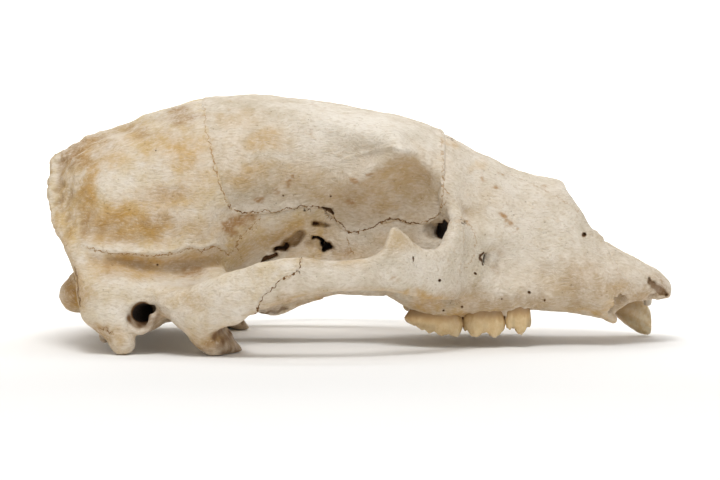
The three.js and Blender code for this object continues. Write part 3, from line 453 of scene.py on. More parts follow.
# Hollows: depth in mm, how much painted shade darkens it inside, how far from the middle it reaches
# in mm or None for any distance, and a line of [across, down, half width]
HOLLOWS = {
    "sight_canal": (4.5, 0.1, 42, [
        (274, 251, 1.4), (284, 246, 4), (293, 240.5, 5.6), (301, 234, 4),
    ]),
    "sight_canal_deep": (2.4, 0.8, 42, [(275, 250.5, 1.6), (281, 248.8, 2.2), (288, 246.8, 1.6)]),
    "lower_canal": (3, 0.6, 42, [(262, 261, 1.4), (268, 257.5, 2.4), (276, 255.4, 2)]),
    "upper_pore": (3, 0.12, 42, [(315, 224, 3.2), (320, 224, 3.4), (325, 224.6, 2.4)]),
    "upper_pore_deep": (2, 0.7, 42, [(314.5, 224, 2), (317, 224.8, 1.8)]),
    "broken_wall": (4, 1, 42, [
        (311, 238.8, 0.9), (316, 238, 1.8), (321, 239.5, 2.4), (323, 242, 2),
    ]),
    "broken_wall_low": (5, 1, 42, [(322.5, 243.5, 2.4), (328, 246.5, 4.4), (324.5, 250.5, 2.6)]),
    "broken_wall_rim": (1.2, 0.12, 42, [(308, 243, 4), (318, 246, 5), (332, 250, 4)]),
    "seam_pit": (2, 0.7, 42, [(322.5, 207.5, 1.2), (328, 209.5, 2), (333, 213, 1.1)]),
    "tear_hole": (3, 1, 34.5, [
        (447, 216.5, 1.8), (446, 222, 3), (442.5, 228, 6.4), (440.8, 233, 6.6), (445, 240, 3),
    ]),
    "cheek_hole": (1.2, 0.72, None, [(482.8, 252, 0.9), (481.4, 258, 1.6), (482.6, 265.5, 0.9)]),
    "cheek_bowl": (0.8, 0, None, [(487, 256, 4), (492, 264, 6), (498, 274, 4)]),
    "cheek_slit": (0.8, 0.5, None, [(413.6, 256, 0.7), (412.6, 259, 1), (413, 262.5, 0.7)]),
    "nose_root_slit": (1, 0.8, None, [(447.5, 137.5, 0.7), (452, 139, 1.1), (457, 141.5, 0.6)]),
    "front_socket": (2.6, 0.3, None, [
        (649.5, 280, 1.8), (655, 286, 4.2), (661, 291.5, 4), (666, 295, 2),
    ]),
    "arch_underside": (1, 0.28, None, [
        (259, 313.6, 1), (267, 313.4, 2), (277, 311.4, 2.6), (287, 308, 1.2),
    ]),
    "molar_gap": (2.2, 0.7, None, [(462.5, 319, 2.6), (462.5, 325, 1.6)]),
    "premolar_gap": (2.4, 0.7, None, [(503.5, 318, 2.4), (503, 322, 1.4)]),
    "condyle_cleft": (0.8, 0.35, None, [(75.5, 266, 0.7), (77.5, 285, 1.1), (80, 305, 0.8)]),
    "premolar_notch": (1.2, 0.6, None, [(520.5, 313.5, 1.5), (519, 308, 0.8)]),
}
# Raised lines: height in mm, and a line in the same way
RIDGES = {
    "squamosal_edge": (0.55, [
        (80, 243.5, 2.6), (95, 247.5, 2.6), (110, 250.5, 2.4), (132, 251.6, 2), (154, 252.6, 2),
        (175, 250.5, 1.8), (189, 245, 1.6), (201, 248, 1.6), (214, 243, 1.6), (228, 250, 1.6),
    ]),
    "temple_edge": (0.5, [
        (58, 160, 3.5), (80, 141, 3), (106, 131, 3), (130, 124, 2.5), (160, 113, 2),
    ]),
    "brow_edge": (0.45, [
        (346, 160, 1.6), (360, 153, 1.8), (378, 150, 2), (392, 146.5, 2), (408, 150, 1.6),
    ]),
    "ear_roof": (0.5, [(128, 305, 2), (143, 301, 2.2), (158, 303, 2), (170, 309, 1.8)]),
    "arch_lower_edge": (0.4, [
        (254, 312, 1), (264, 310, 1.2), (278, 306.4, 1.2), (292, 302, 1.2), (306, 299.5, 1),
    ]),
    "foot_edge": (0.4, [(172, 316, 1.4), (184, 329, 1.4), (196, 342, 1.4), (206, 349, 1.4)]),
    "premolar_roots": (0.5, [(511, 296, 3), (511, 312, 3.4)]),
    "premolar_root": (0.5, [(525, 296, 3), (525, 310, 3.4)]),
    "molar_root": (0.5, [(475, 302, 3.4), (475, 318, 4)]),
    "molar_rear_root": (0.45, [(491, 300, 3.4), (492, 316, 4)]),
    "socket_rim": (0.5, [
        (596, 315, 1.4), (606, 314.4, 1.4), (618, 311, 1.2), (630, 306, 1.2), (641, 301, 1.2),
    ]),
}
# [across, down, reach across, reach down, strength] of each kind of stain, and of patches of
# painted shade and painted highlight
OCHRE_STAINS = [
    (88, 178, 11, 46, 1), (121, 214, 38, 15, 0.95), (150, 140, 34, 16, 0.55),
    (184, 152, 26, 22, 0.75), (200, 176, 30, 20, 0.35), (160, 200, 40, 14, 0.6),
    (249, 176, 26, 13, 0.55), (262, 139, 22, 11, 0.6), (232, 150, 22, 30, 0.2),
    (110, 160, 22, 12, 0.55), (135, 232, 46, 14, 0.9), (140, 262, 40, 8, 0.7),
    (400, 190, 44, 36, 0.4), (300, 240, 40, 20, 0.6), (250, 240, 30, 20, 0.35),
    (614, 320, 16, 7, 0.8), (68, 292, 18, 26, 0.9), (215, 345, 30, 8, 0.6), (600, 312, 30, 5, 0.5),
    (620, 288, 30, 10, 0.3), (452, 140, 14, 3, 0.5), (480, 170, 10, 4, 0.4), (66, 230, 14, 26, 0.4),
    (300, 176, 36, 14, 0.35), (190, 228, 46, 12, 0.35), (128, 268, 44, 12, 0.7),
    (330, 190, 40, 12, 0.3), (200, 262, 34, 16, 0.3), (355, 255, 20, 14, 0.5),
    (395, 240, 26, 12, 0.35), (425, 302, 16, 9, 0.7), (397, 294, 12, 5, 0.6),
    (470, 316, 66, 5, 0.45), (115, 338, 16, 12, 0.45), (230, 120, 30, 8, 0.3),
    (570, 280, 50, 18, 0.22), (620, 306, 22, 8, 0.5), (480, 200, 30, 20, 0.16),
    (320, 303, 40, 8, 0.45), (180, 300, 22, 14, 0.25),
]
# Brown patches: stain on the braincase and by the crest, and painted shade in hollows, in the gaps
# between the teeth, under the arch and on the front of the jaw socket's foot.
BROWN_STAINS_AND_SHADE = [
    (76, 151, 20, 13, 1), (96, 143, 18, 9, 0.8), (184, 119, 17, 7, 0.95), (134, 130, 34, 6, 0.6),
    (90, 222, 10, 22, 0.8), (112, 220, 22, 12, 0.55), (150, 222, 24, 11, 0.75),
    (168, 193, 20, 8, 0.55), (108, 270, 12, 12, 0.5), (128, 262, 36, 6, 0.2), (86, 190, 8, 24, 0.5),
    (68, 292, 16, 24, 0.85), (100, 338, 9, 10, 0.9), (226, 343, 20, 9, 0.85),
    (147, 326, 14, 10, 0.6), (163, 315, 8, 10, 0.6), (300, 306, 34, 7, 0.6),
    (286, 243, 16, 10, 0.6), (192, 300, 11, 13, 0.25), (340, 246, 14, 10, 0.45),
    (660, 291, 9, 8, 0.9), (60, 262, 10, 20, 0.3), (256, 170, 18, 9, 0.2), (128, 236, 34, 8, 0.35),
    (152, 323, 12, 8, 0.8), (274, 313, 16, 4, 0.9), (296, 246, 26, 14, 0.35), (666, 297, 5, 4, 0.8),
    (590, 285, 44, 22, 0.45), (560, 300, 60, 10, 0.5), (215, 346, 30, 9, 1), (228, 338, 14, 8, 1),
    (480, 300, 60, 10, 0.42), (462.5, 322, 5, 6, 0.9), (503.5, 321, 5, 6, 0.9),
    (640, 292, 30, 14, 0.55), (115, 340, 20, 12, 0.3), (350, 200, 40, 22, 0.25),
    (414, 190, 26, 30, 0.18),
]
RUST_STAINS = [
    (228, 226, 9, 9, 1), (238, 222, 14, 7, 1), (250, 219, 9, 4.5, 1), (233, 232, 8, 5, 0.8),
    (192, 270, 17, 7, 0.75), (259, 201, 6, 4, 0.8), (277.6, 191.5, 4, 4, 0.7),
    (289, 183, 4, 5, 0.8), (293, 178, 3, 3, 0.7), (352, 203, 7, 5, 0.7), (366, 174, 7, 3, 0.75),
    (354, 181, 7, 3, 0.75), (484, 181, 4, 4, 0.6), (495, 187, 4, 3, 0.6), (503, 216, 5, 3, 0.7),
    (507, 222, 4, 4, 0.7), (513, 229, 4, 3, 0.6), (543, 189, 5, 3, 0.5), (467, 221, 6, 4, 0.6),
    (458, 149, 8, 3, 0.35), (394, 276, 8, 3, 0.5), (200, 232, 9, 4, 0.35), (314, 132, 4, 3, 0.5),
    (314, 105, 9, 2, 0.4), (234, 107, 6, 2, 0.4), (104, 330, 7, 4, 0.6), (425, 302, 13, 6, 0.5),
    (500, 170, 9, 3, 0.3), (348, 251, 5, 7, 0.5),
]
# Pale patches: partly pale bone, as the boss before the jaw socket, and partly painted highlight on
# tops that face the light, as the forehead, brow and snout.
PALE_PATCHES_AND_HIGHLIGHTS = [
    (121, 182, 20, 26, 0.3), (140, 164, 14, 7, 0.2), (370, 118, 70, 28, 1), (330, 105, 60, 8, 0.8),
    (420, 150, 22, 26, 0.55), (237, 321, 9, 8, 1), (230, 285, 40, 10, 0.35),
    (340, 275, 60, 7, 0.35), (415, 270, 50, 20, 0.5), (500, 240, 60, 40, 0.3),
    (230, 140, 9, 24, 0.3), (66, 175, 8, 6, 0.6), (112, 318, 26, 12, 0.5), (160, 290, 40, 8, 0.45),
    (560, 225, 30, 24, 0.3), (500, 180, 50, 30, 0.4), (500, 250, 30, 30, 0.3),
]
EAR_OPENING = (142, 312, 11.5, 11)  # across, down and both half widths in the side view
EAR_FLOOR = 61  # mm from the middle: further in, the ear opening is painted dark with shade
EAR_LIP = 67  # mm from the middle: further in, the lower half of the bony tube is darkened brown, partly painted shade and partly stain
# The foot of the jaw socket, darkened on its front with painted shade: its rear, its front and its
# top in mm
SOCKET_FOOT = (-78, -47, 18)
REAR_FACE = (118, 134)  # mm behind the origin where the stained rear of the skull starts and ends


def stain(dots, patches):
    """How strongly points are marked by the strongest of some soft patches."""
    amount = np.zeros(len(dots))
    for across, down, wide, tall, strength in patches:
        far = ((dots[:, 0] - across) / wide) ** 2 + ((dots[:, 1] - down) / tall) ** 2
        amount = np.maximum(amount, strength * np.exp(-(far**1.4)))
    return amount


def spine_share(dots, spine):
    """How far inside a drawn-out form points are: 1 on its line, 0 at its edge, below 0 outside."""
    best = np.full(len(dots), -9.0)
    for (ax, ay, ar), (bx, by, br) in zip(spine[:-1], spine[1:]):
        run = np.array([bx - ax, by - ay])
        offset = dots - (ax, ay)
        t = np.clip(offset @ run / (run @ run), 0, 1)
        away = np.linalg.norm(offset - t[:, None] * run, axis=1)
        best = np.maximum(best, 1 - away / (ar + t * (br - ar)))
    return best


def split_near_holes(piece, holes, times):
    """Splits the faces near small holes, so that the holes come out round."""
    for turn in range(times):
        centres = read(piece.data.polygons, "center", 3)
        facing = np.abs(read(piece.data.polygons, "normal", 3)[:, 1]) > 0.12
        dots = seen(centres)
        near = np.zeros(len(centres), bool)
        for across, down, radius, _ in holes:
            gap = np.hypot(dots[:, 0] - across, dots[:, 1] - down) / DOTS_PER_MM
            near |= gap < radius * 1.5 + 0.8 - 0.3 * turn
        if turn == 0:
            for _, dark, _, spine in HOLLOWS.values():
                if dark > 0.4:
                    near |= spine_share(dots, spine) > -0.5
        with editing(piece, "FACE", "DESELECT", near & facing):
            bpy.ops.mesh.subdivide(number_cuts=1)


def seam_channels(places, dots, facing, near_cut, lines):
    """For each channel, how far aside of a seam points are in mm, and how plainly it shows."""
    off, _, show = nearest_cut(places)
    swing = bpy.context.scene.skull_bone.seam_wander / MM
    off += swing * np.clip(mottle(places, 2.6, 41), -1, 1)
    channels = {"cut": (off, show * step_up(near_cut, 0.2, 0.7))}
    for channel in ("a", "b"):
        aside, strength = np.full(len(places), SEAM_SPAN / 2), np.zeros(len(places))
        for i, (where, plain, swing, line) in enumerate(lines):
            if where != channel:
                continue
            off, along, _ = line_distance(dots, line)
            off, along = off / DOTS_PER_MM, along / DOTS_PER_MM
            length = along.max()
            off -= wander(along, 1.3 * i) * swing * 0.5
            nearer = np.abs(off) < np.abs(aside)
            fade = step_up(along, 0, 3) * (1 - step_up(along, length - 3, length))
            aside[nearer] = off[nearer]
            strength[nearer] = (fade * facing * plain * (1 - step_up(np.abs(off), 3, 4)))[nearer]
        channels[channel] = (aside, strength)
    return channels


def carved(places, dots, facing, holes):
    """How far points are sunk sideways and raised outwards in mm, and how much painted shade
    darkens them.
    """
    sunk, raised, dark = np.zeros((3, len(places)))
    from_middle = np.abs(places[:, 1]) / MM
    torn = dots + mottle_pair(places, 2.2, 21) * 0.9
    # Small holes are sunk, and painted shade darkens them, the more the deeper they are.
    for across, down, radius, deep in holes:
        gap = np.linalg.norm(dots + (torn - dots) * 0.5 - (across, down), axis=1) / DOTS_PER_MM
        pit = np.exp(-((gap / radius) ** 4)) * facing
        sunk += pit * deep
        dark = np.maximum(dark, pit * min(0.25 + 0.25 * deep, 0.75))
    for deep, shade, reach, spine in HOLLOWS.values():
        inside = spine_share(torn, spine)
        side_on = facing if reach is None else step_up(reach - from_middle, 0, 1.5)
        sunk += step_up(inside, -0.25, 0.45) * facing * side_on * deep
        dark = np.maximum(dark, step_up(inside, 0.0, 0.4) * shade * side_on)
    uneven = 1 + 0.35 * mottle(places, 3, 23)
    for high, spine in RIDGES.values():
        raised += step_up(spine_share(dots, spine), -0.6, 0.7) * facing * high * uneven
    return sunk, raised, dark


def hollowness(places, normals, edges, count):
    """How far points lie under the smoothed bone round them, in mm."""
    smooth = places
    for _ in range(30):
        smooth = smooth + 0.5 * (neighbour_mean(edges, count, smooth) - smooth)
    hollow = (np.sum((smooth - places) * normals, axis=1) / MM)[:, None]
    for _ in range(3):
        hollow = neighbour_mean(edges, count, hollow)
    return hollow[:, 0]


def carve_marks(piece, lines, holes):
    """Carves holes, hollows and ridges, and marks where seams and stains lie, and where shade and
    highlight are painted.
    """
    if holes:
        split_near_holes(piece, holes, 2)
    places, normals = places_of(piece), normals_of(piece)
    edges, count = edges_of(piece)
    dots = seen(places)
    facing = step_up(np.abs(normals[:, 1]), 0.05, 0.3)
    near_cut = read(piece.data.attributes["near_cut"].data, "value", 1)
    channels = seam_channels(places, dots, facing, near_cut, lines)
    sunk, raised, dark = carved(places, dots, facing, holes)
    # Painted shade fills the ear opening further in than EAR_FLOOR.
    across, down, wide, tall = EAR_OPENING
    ear = np.hypot((dots[:, 0] - across) / wide, (dots[:, 1] - down) / tall)
    deep_in = step_up(EAR_FLOOR - np.abs(places[:, 1]) / MM, 0, 5)
    dark = np.maximum(dark, 0.98 * (1 - step_up(ear, 0.85, 1.1)) * deep_in)

    places += normals * (raised * MM)[:, None]
    places[:, 1] -= np.sign(places[:, 1]) * sunk * MM
    low, high = np.array(CAD_BOX[0]), np.array(CAD_BOX[1])
    places = np.clip(places, low + 2e-5, high - 2e-5)
    set_places(piece, places)
    hollow = hollowness(places, normals_of(piece), edges, count)

    x, y, z = (places / MM).T
    # Faces that turn down, which get ochre and brown: partly painted shade, partly stain.
    under = step_up(-normals[:, 2], 0.1, 0.8)
    rear = step_up(-x, *REAR_FACE) * step_up(np.abs(normals[:, 0]), 0.3, 0.7)
    drawn = dots + mottle_pair(places, 9, 31) * 4.5 + mottle_pair(places, 2.5, 33) * 1.3
    flecks = stain(dots + (drawn - dots) * 0.45, RUST_STAINS)
    # Uneven brown painted shade on the lower half of the ear tube, there partly stain, and on the
    # front of the jaw socket's foot.
    tube = (1 - step_up(ear, 1.3, 1.8)) * step_up(EAR_LIP - np.abs(y), 0, 5)
    tube *= step_up(dots[:, 1], down - 3, down + 4)
    foot_rear, foot_front, foot_top = SOCKET_FOOT
    foot = step_up(normals[:, 0], 0.1, 0.5) * step_up(foot_top - z, 0, 6)
    foot *= step_up(-x, -foot_front, 3 - foot_front) * step_up(x, foot_rear, foot_rear + 4)
    dark = np.maximum(dark, 0.26 * np.maximum(tube, foot) * (1 + 0.4 * mottle(places, 2, 42)))
    marks = {
        # Ochre and brown also go on faces that turn down, partly painted shade and partly stain,
        # and on the stained rear face.
        "ochre": facing * stain(drawn, OCHRE_STAINS) + 0.3 * under + 0.5 * rear + 0.06,
        "brown": facing * stain(drawn, BROWN_STAINS_AND_SHADE) + 0.22 * under * rear + 0.2 * rear,
        "rust": facing * step_up(flecks + 0.2 * mottle(places, 1.4, 35), 0.25, 0.95),
        # Pale patches, partly painted highlight on tops that face the light.
        "chalk_and_highlight": facing * stain(drawn, PALE_PATCHES_AND_HIGHLIGHTS),
        # Painted shade in creases, where the bone lies under its smoothed self.
        "crease": step_up(hollow, 0.02, 0.5) * (1 - near_cut),
        # Painted highlight on ridges, where the bone stands above its smoothed self.
        "ridge_highlight": step_up(-hollow, 0.05, 0.6) * (1 - near_cut),
        # Painted shade in holes, hollows, the ear opening, the ear tube and the front of the jaw
        # socket's foot.
        "dark": dark,
    }
    for channel, (aside, strength) in channels.items():
        marks[f"seam_{channel}"] = aside / SEAM_SPAN + 0.5
        marks[f"seam_{channel}_show"] = strength
    for name, values in marks.items():
        set_mark(piece, name, values)


def undulate(piece, size_mm, height_mm, seed, group=""):
    """Low soft lumps, as grown bone has."""
    texture = bpy.data.textures.new(f"lumps_{size_mm}_{seed}", "CLOUDS")
    texture.noise_scale = size_mm * MM
    texture.noise_depth = 2
    shape_with(
        piece, "DISPLACE", texture=texture, texture_coords="LOCAL", strength=height_mm * MM,
        mid_level=0.6, vertex_group=group,
    )
    bpy.data.textures.remove(texture)


def weight_where(piece, name, weights):
    """A group of points that holds their weights in tenths."""
    group = piece.vertex_groups.new(name=name)
    for level in range(1, 11):
        inside = np.nonzero((weights * 10).astype(int) == level)[0]
        if len(inside):
            group.add(inside.tolist(), level / 10, "REPLACE")


# Materials

def add_node(tree, kind, inputs=None, out=0, **settings):
    """Adds a node with its settings, sets or links its inputs, and gives one of its outputs."""
    node = tree.nodes.new(f"ShaderNode{kind}")
    for key, value in settings.items():
        setattr(node, key, value)
    for socket, value in (inputs or {}).items():
        if isinstance(value, bpy.types.NodeSocket):
            tree.links.new(value, node.inputs[socket])
        else:
            node.inputs[socket].default_value = value
    return node.outputs[out] if node.outputs else None


def new_material(name):
    """An empty material, and the place of each point on the object."""
    material = bpy.data.materials.new(name)
    material.use_nodes = True
    tree = material.node_tree
    tree.nodes.clear()
    return material, tree, add_node(tree, "TexCoord", out="Object")


def pattern(
    tree, where, size_mm, detail, rough, stretch=(1, 1, 1), turn=(0, 0, 0), shift=(0, 0, 0)
):
    """A soft uneven pattern with lumps about size_mm wide, drawn out where stretch is above 1."""
    scale = [1 / s for s in stretch]
    inputs = {"Vector": where, "Scale": scale, "Rotation": turn, "Location": shift}
    place = add_node(tree, "Mapping", inputs)
    inputs = {"Vector": place, "Scale": 1 / (size_mm * MM), "Detail": detail, "Roughness": rough}
    return add_node(tree, "TexNoise", inputs)


def sum_of(tree, *parts):
    """The sum of some values, each times its share."""
    total = 0.0
    for value, share in parts:
        inputs = {0: value, 1: share, 2: total}
        total = add_node(tree, "Math", inputs, operation="MULTIPLY_ADD")
    return total


def strength(tree, value, low, high, most=1.0, least=0.0, within=1.0):
    """Rises softly from least to most as a value goes from low to high, all times within."""
    inputs = {"Value": value, "From Min": low, "From Max": high, "To Min": least, "To Max": most}
    rise = add_node(tree, "MapRange", inputs, interpolation_type="SMOOTHSTEP")
    return add_node(tree, "Math", {0: rise, 1: within}, operation="MULTIPLY")


EVEN = (1.0, 0.0, 1.0)  # a value, low and high that leave the strength to its other numbers


def painted(tree, base, layers):
    """Lays colours over each other, each given with how strongly it shows."""
    for colour, *rise in layers:
        inputs = {0: strength(tree, *rise), 6: base, 7: colour}
        base = add_node(tree, "Mix", inputs, 2, data_type="RGBA")
    return base


def marks_on(tree, *names):
    return {name: add_node(tree, "Attribute", out="Fac", attribute_name=name) for name in names}


def surface(tree, relief, height_mm, sharpness, inputs):
    """Ends a material with its relief and its surface."""
    bump = {"Height": relief, "Distance": height_mm * MM, "Strength": sharpness}
    inputs = {"Normal": add_node(tree, "Bump", bump), **inputs}
    add_node(tree, "OutputMaterial", {"Surface": add_node(tree, "BsdfPrincipled", inputs)})


def seam_strength(tree, where):
    """Grown seams: hairlines about 0.5 mm wide, with a fine zigzag, broken here and there."""
    zigzag = pattern(tree, where, 1.5, 2, 0.5, shift=(0.2, 0.9, 0.5))
    broken = pattern(tree, where, 2.2, 2, 0.5, shift=(0.6, 0.1, 0.9))
    swing = 2.72 / SEAM_SPAN
    seam = 0.0
    for channel in ("cut", "a", "b"):
        aside, show = marks_on(tree, f"seam_{channel}", f"seam_{channel}_show").values()
        off = sum_of(tree, (aside, 1.0), (zigzag, swing), (1.0, -0.5 - swing / 2))
        off = add_node(tree, "Math", {0: off}, operation="ABSOLUTE")
        line = strength(tree, off, 0.4 / SEAM_SPAN, 0.112 / SEAM_SPAN, within=show)
        seam = add_node(tree, "Math", {0: seam, 1: line}, operation="MAXIMUM")
    return strength(tree, broken, 0.38, 0.52, least=0.3, within=seam)


def dry_bone(name, crease_shade_share, aged):
    """Dry cortical bone, macerated and bleached: matte, fine grained along the bone, with small
    vessel holes, and with soil and grease stains soaked into it. Painted shade darkens its
    creases, holes and hollows, and painted highlight pales its ridges and the tops that face the
    light."""
    colours = bpy.context.scene.skull_bone
    material, tree, where = new_material(name)
    mark = marks_on(tree, "ochre", "brown", "rust", "chalk_and_highlight", "crease", "ridge_highlight", "dark")
    # The grain of the bone wavers: its coordinates are pushed about by a soft noise.
    inputs = {"Vector": where, "Scale": 1 / (11 * MM), "Detail": 1.0}
    sway = add_node(tree, "TexNoise", inputs, "Color")
    push = add_node(tree, "VectorMath", {0: sway, 1: (0.5,) * 3}, operation="SUBTRACT")
    inputs = {0: push, 1: (6 * MM,) * 3, 2: where}
    wavy = add_node(tree, "VectorMath", inputs, operation="MULTIPLY_ADD")
    broad = pattern(tree, where, 30, 4, 0.6)
    patchy = pattern(tree, where, 7, 7, 0.68, shift=(0.3, 0.1, 0.2))
    speck = pattern(tree, where, 1.3, 4, 0.7, shift=(0.7, 0.2, 0.4))
    # Grooves of the grain are about 0.5 mm wide and 3 mm long, and run along the skull.
    fibre = pattern(tree, wavy, 0.85, 3, 0.6, (3.2, 1, 1), (0, 0.25, 0))
    drift = pattern(tree, wavy, 2.6, 4, 0.7, (2, 1, 1.2), (0, 0.4, 0), (0.1, 0.6, 0.2))
    grade = sum_of(tree, (broad, 0.5), (patchy, 0.55))
    grit = sum_of(tree, (patchy, 0.5), (speck, 0.5))
    # Pores stand about 2.4 mm apart, and only in some patches.
    inputs = {"Vector": where, "Scale": 1 / (2.4 * MM), "Randomness": 1.0}
    centre = add_node(tree, "TexVoronoi", inputs, "Distance")
    pore = strength(tree, centre, 0.16, 0.08, within=strength(tree, patchy, 0.5, 0.6))
    # Seams are ochre where they are faint, and brown where they are plain.
    seam = seam_strength(tree, where)
    seam_colour = painted(tree, linear("#A67C44"), [(linear("#6B4A28"), seam, 0.35, 0.85)])
    base = painted(tree, colours.cream, [
        (aged, grade, 0.4, 0.68),
        # Pale patches, partly painted highlight.
        (colours.chalk_and_highlight, *EVEN, 0.85, 0.0, mark["chalk_and_highlight"]),
        (colours.ochre, patchy, 0.3, 0.62, 0.9, 0.45, mark["ochre"]),
        (colours.brown, grit, 0.36, 0.6, 0.8925, 0.255, mark["brown"]),
        (colours.rust, grit, 0.3, 0.5, 1.0, 0.0, mark["rust"]),
        # Painted shade in creases.
        (linear("#9C7C52"), *EVEN, crease_shade_share, 0.0, mark["crease"]),
        # Painted highlight on ridges.
        (colours.chalk_and_highlight, *EVEN, 0.3, 0.0, mark["ridge_highlight"]),
        (linear("#A0855C"), fibre, 0.5, 0.68, 0.3),
        (linear("#F2EADD"), fibre, 0.48, 0.32, 0.22),
        (linear("#B4945F"), drift, 0.54, 0.74, 0.3),
        (linear("#7E6242"), *EVEN, 0.5, 0.0, pore),
        (seam_colour, seam, 0.0, 0.6),
        # Painted shade: brown where it is light, near black in holes, deep hollows and the ear
        # opening.
        (linear("#74522E"), mark["dark"], 0.0, 0.5),
        (colours.hole_shade, mark["dark"], 0.5, 0.95),
    ])
    parts = (drift, 0.5), (speck, 0.22), (fibre, 0.6), (pore, -0.3), (seam, -0.25)
    surface(tree, sum_of(tree, *parts), 1.2, 0.9, {
        "Base Color": base,
        "Roughness": 0.62,
        "IOR": 1.53,
        "Specular IOR Level": 0.35,
        "Subsurface Weight": 0.05,
        "Subsurface Radius": (0.004, 0.0028, 0.0018),
    })
    return material


def worn_enamel(name, crown, root):
    """Tooth enamel worn and yellowed with age: smooth with a low gloss, brown at the neck and
    in the fissures, and paler where it is worn."""
    material, tree, where = new_material(name)
    mark = marks_on(tree, "neck", "dark", "worn")
    patchy = pattern(tree, where, 2.4, 5, 0.62)
    fine = pattern(tree, where, 0.5, 3, 0.6, (1, 1, 5))
    base = painted(tree, crown, [
        (linear("#C7A978"), patchy, 0.35, 0.7),
        (root, *EVEN, 0.75, 0.0, mark["neck"]),
        (linear("#E6D9BC"), *EVEN, 0.55, 0.0, mark["worn"]),
        (linear("#A8844F"), fine, 0.5, 0.75, 0.3),
        # Darker in the fissures and near the neck, and painted shade in the grooves between the
        # cusps.
        (linear("#5A4028"), *EVEN, 0.85, 0.0, mark["dark"]),
    ])
    surface(tree, sum_of(tree, (patchy, 0.5), (fine, 0.5)), 0.2, 0.4, {
        "Base Color": base,
        "Roughness": 0.36,
        "IOR": 1.6,
        "Subsurface Weight": 0.08,
        "Subsurface Radius": (0.003, 0.002, 0.0012),
    })
    return material


def material_named(name, make, *settings):
    return bpy.data.materials.get(name) or make(name, *settings)


# The bones

def finish_piece(piece, material, slot, *nodes):
    """Shades a piece, gives it its material, and sets it in the frame."""
    select_only(piece)
    bpy.ops.object.shade_smooth()
    piece.data.materials.clear()
    piece.data.materials.append(material)
    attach(piece, "root")
    if nodes:
        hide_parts(*nodes)


def skin_bone(node, grain, rounds=14, lumps=(), blocks=()):
    """Makes a bone from a CAD node: fine skinned, and drawn over the cuts round it."""
    piece = bone_from(node, f"{node}_bone")
    for low, high in blocks:
        cut_block(piece, low, high)
    crease_cuts(piece, node)
    fine_skin(piece, grain, rounds, lumps)
    close_seams(piece, node, bpy.context.scene.skull_bone)
    return piece


def dress_bone(piece, node, waves, seams=(), holes=SMALL_HOLES, stained=False):
    """Gives a bone its lumps, marks and material, and sets it in the place of its CAD node."""
    for wave in waves:
        undulate(piece, *wave)
    carve_marks(piece, [SEAM_LINES[key] for key in seams], holes)
    colours = bpy.context.scene.skull_bone
    if stained:
        material = material_named("stained_dry_bone", dry_bone, 0.55, colours.ivory)
    else:
        material = material_named("dry_bone", dry_bone, 0.4, colours.grey)
    finish_piece(piece, material, "stained_bone" if stained else "bone", node)


# The rough floor of each bony ear tube: rings of lumps round its opening that step inwards,
# as [middle], [half sizes] in mm
TUBE_RADIUS = 6.3
EAR_TUBE = [
    (
        (
            -94.6 - 0.4 * deep + TUBE_RADIUS * math.cos(turn),
            49 + deep,
            17.8 - 0.1 * deep + TUBE_RADIUS * math.sin(turn),
        ),
        (2.1, 2.4, 2.1),
    )
    for deep in (0, 3.4, 6.8, 10)
    for turn in np.radians([-125, -100, -75, -50, -25, 0])
]
# The wall of the eye socket behind the tear opening, and the bone of the cheek in front of the
# nerve opening, in the same way
TEAR_WALL = ((30.2, 22.4, 52.2), (5.2, 4.3, 5.4))
CHEEK_WALL = ((58.4, 31.6, 41), (4, 4.6, 4.6))
# Walls of bone between the roots of the teeth
TOOTH_WALLS = [
    ((46.8, 24, 13.4), (2.6, 6, 4.2)), ((65.9, 24.4, 14.6), (2.4, 5.4, 4.4)),
    ((24.5, 22.5, 16.8), (3, 5, 2.4)),
]
# Room below the jaw edge for the crowns of the cheek teeth: [rear, front, top] in mm, and how
# far from the middle it starts and ends
CROWN_SPACES = [
    (17, 26, 16.6), (25.9, 30, 15), (18, 47.2, 13.6), (47, 65.9, 15.2), (65.7, 80, 16.4),
]
CROWN_SIDES = (14.5, 38)
CROWN_FLOOR = -3
CANINE_SPACE = ((117, 10, CROWN_FLOOR), (142, 32, 13.2))


class SKULL_OT_braincase(bpy.types.Operator):
    """Make the braincase: the rear of the skull with its crests, ear openings and condyles"""

    bl_idname = "skull.braincase"
    bl_label = "Braincase"

    def execute(self, context):
        piece = skin_bone("braincase", context.scene.skull_bone.braincase_grain, lumps=EAR_TUBE)
        x, _, z = (places_of(piece) / MM).T
        crest = step_up(-x, 112, 134) * (0.2 + 0.8 * step_up(z, 46, 56))
        base = 0.3 * step_up(-z, -24, -8) * step_up(-x, 60, 90)
        weight_where(piece, "crest", np.maximum(crest, base))
        waves = [(14, 1.6, 1), (5.2, 3.2, 2, "crest"), (2, 1.1, 3, "crest")]
        seams = ("squamosal", "squamosal_end", "sphenoid", "mastoid_crack")
        dress_bone(piece, "braincase", waves, seams, stained=True)
        return {"FINISHED"}


class SKULL_OT_forehead(bpy.types.Operator):
    """Make the forehead: the frontal bones between the eyes and over the temples"""

    bl_idname = "skull.forehead"
    bl_label = "Forehead"

    def execute(self, context):
        piece = skin_bone("forehead", context.scene.skull_bone.forehead_grain)
        dress_bone(piece, "forehead", [(14, 1.6, 4), (2.6, 0.16, 5)])
        return {"FINISHED"}


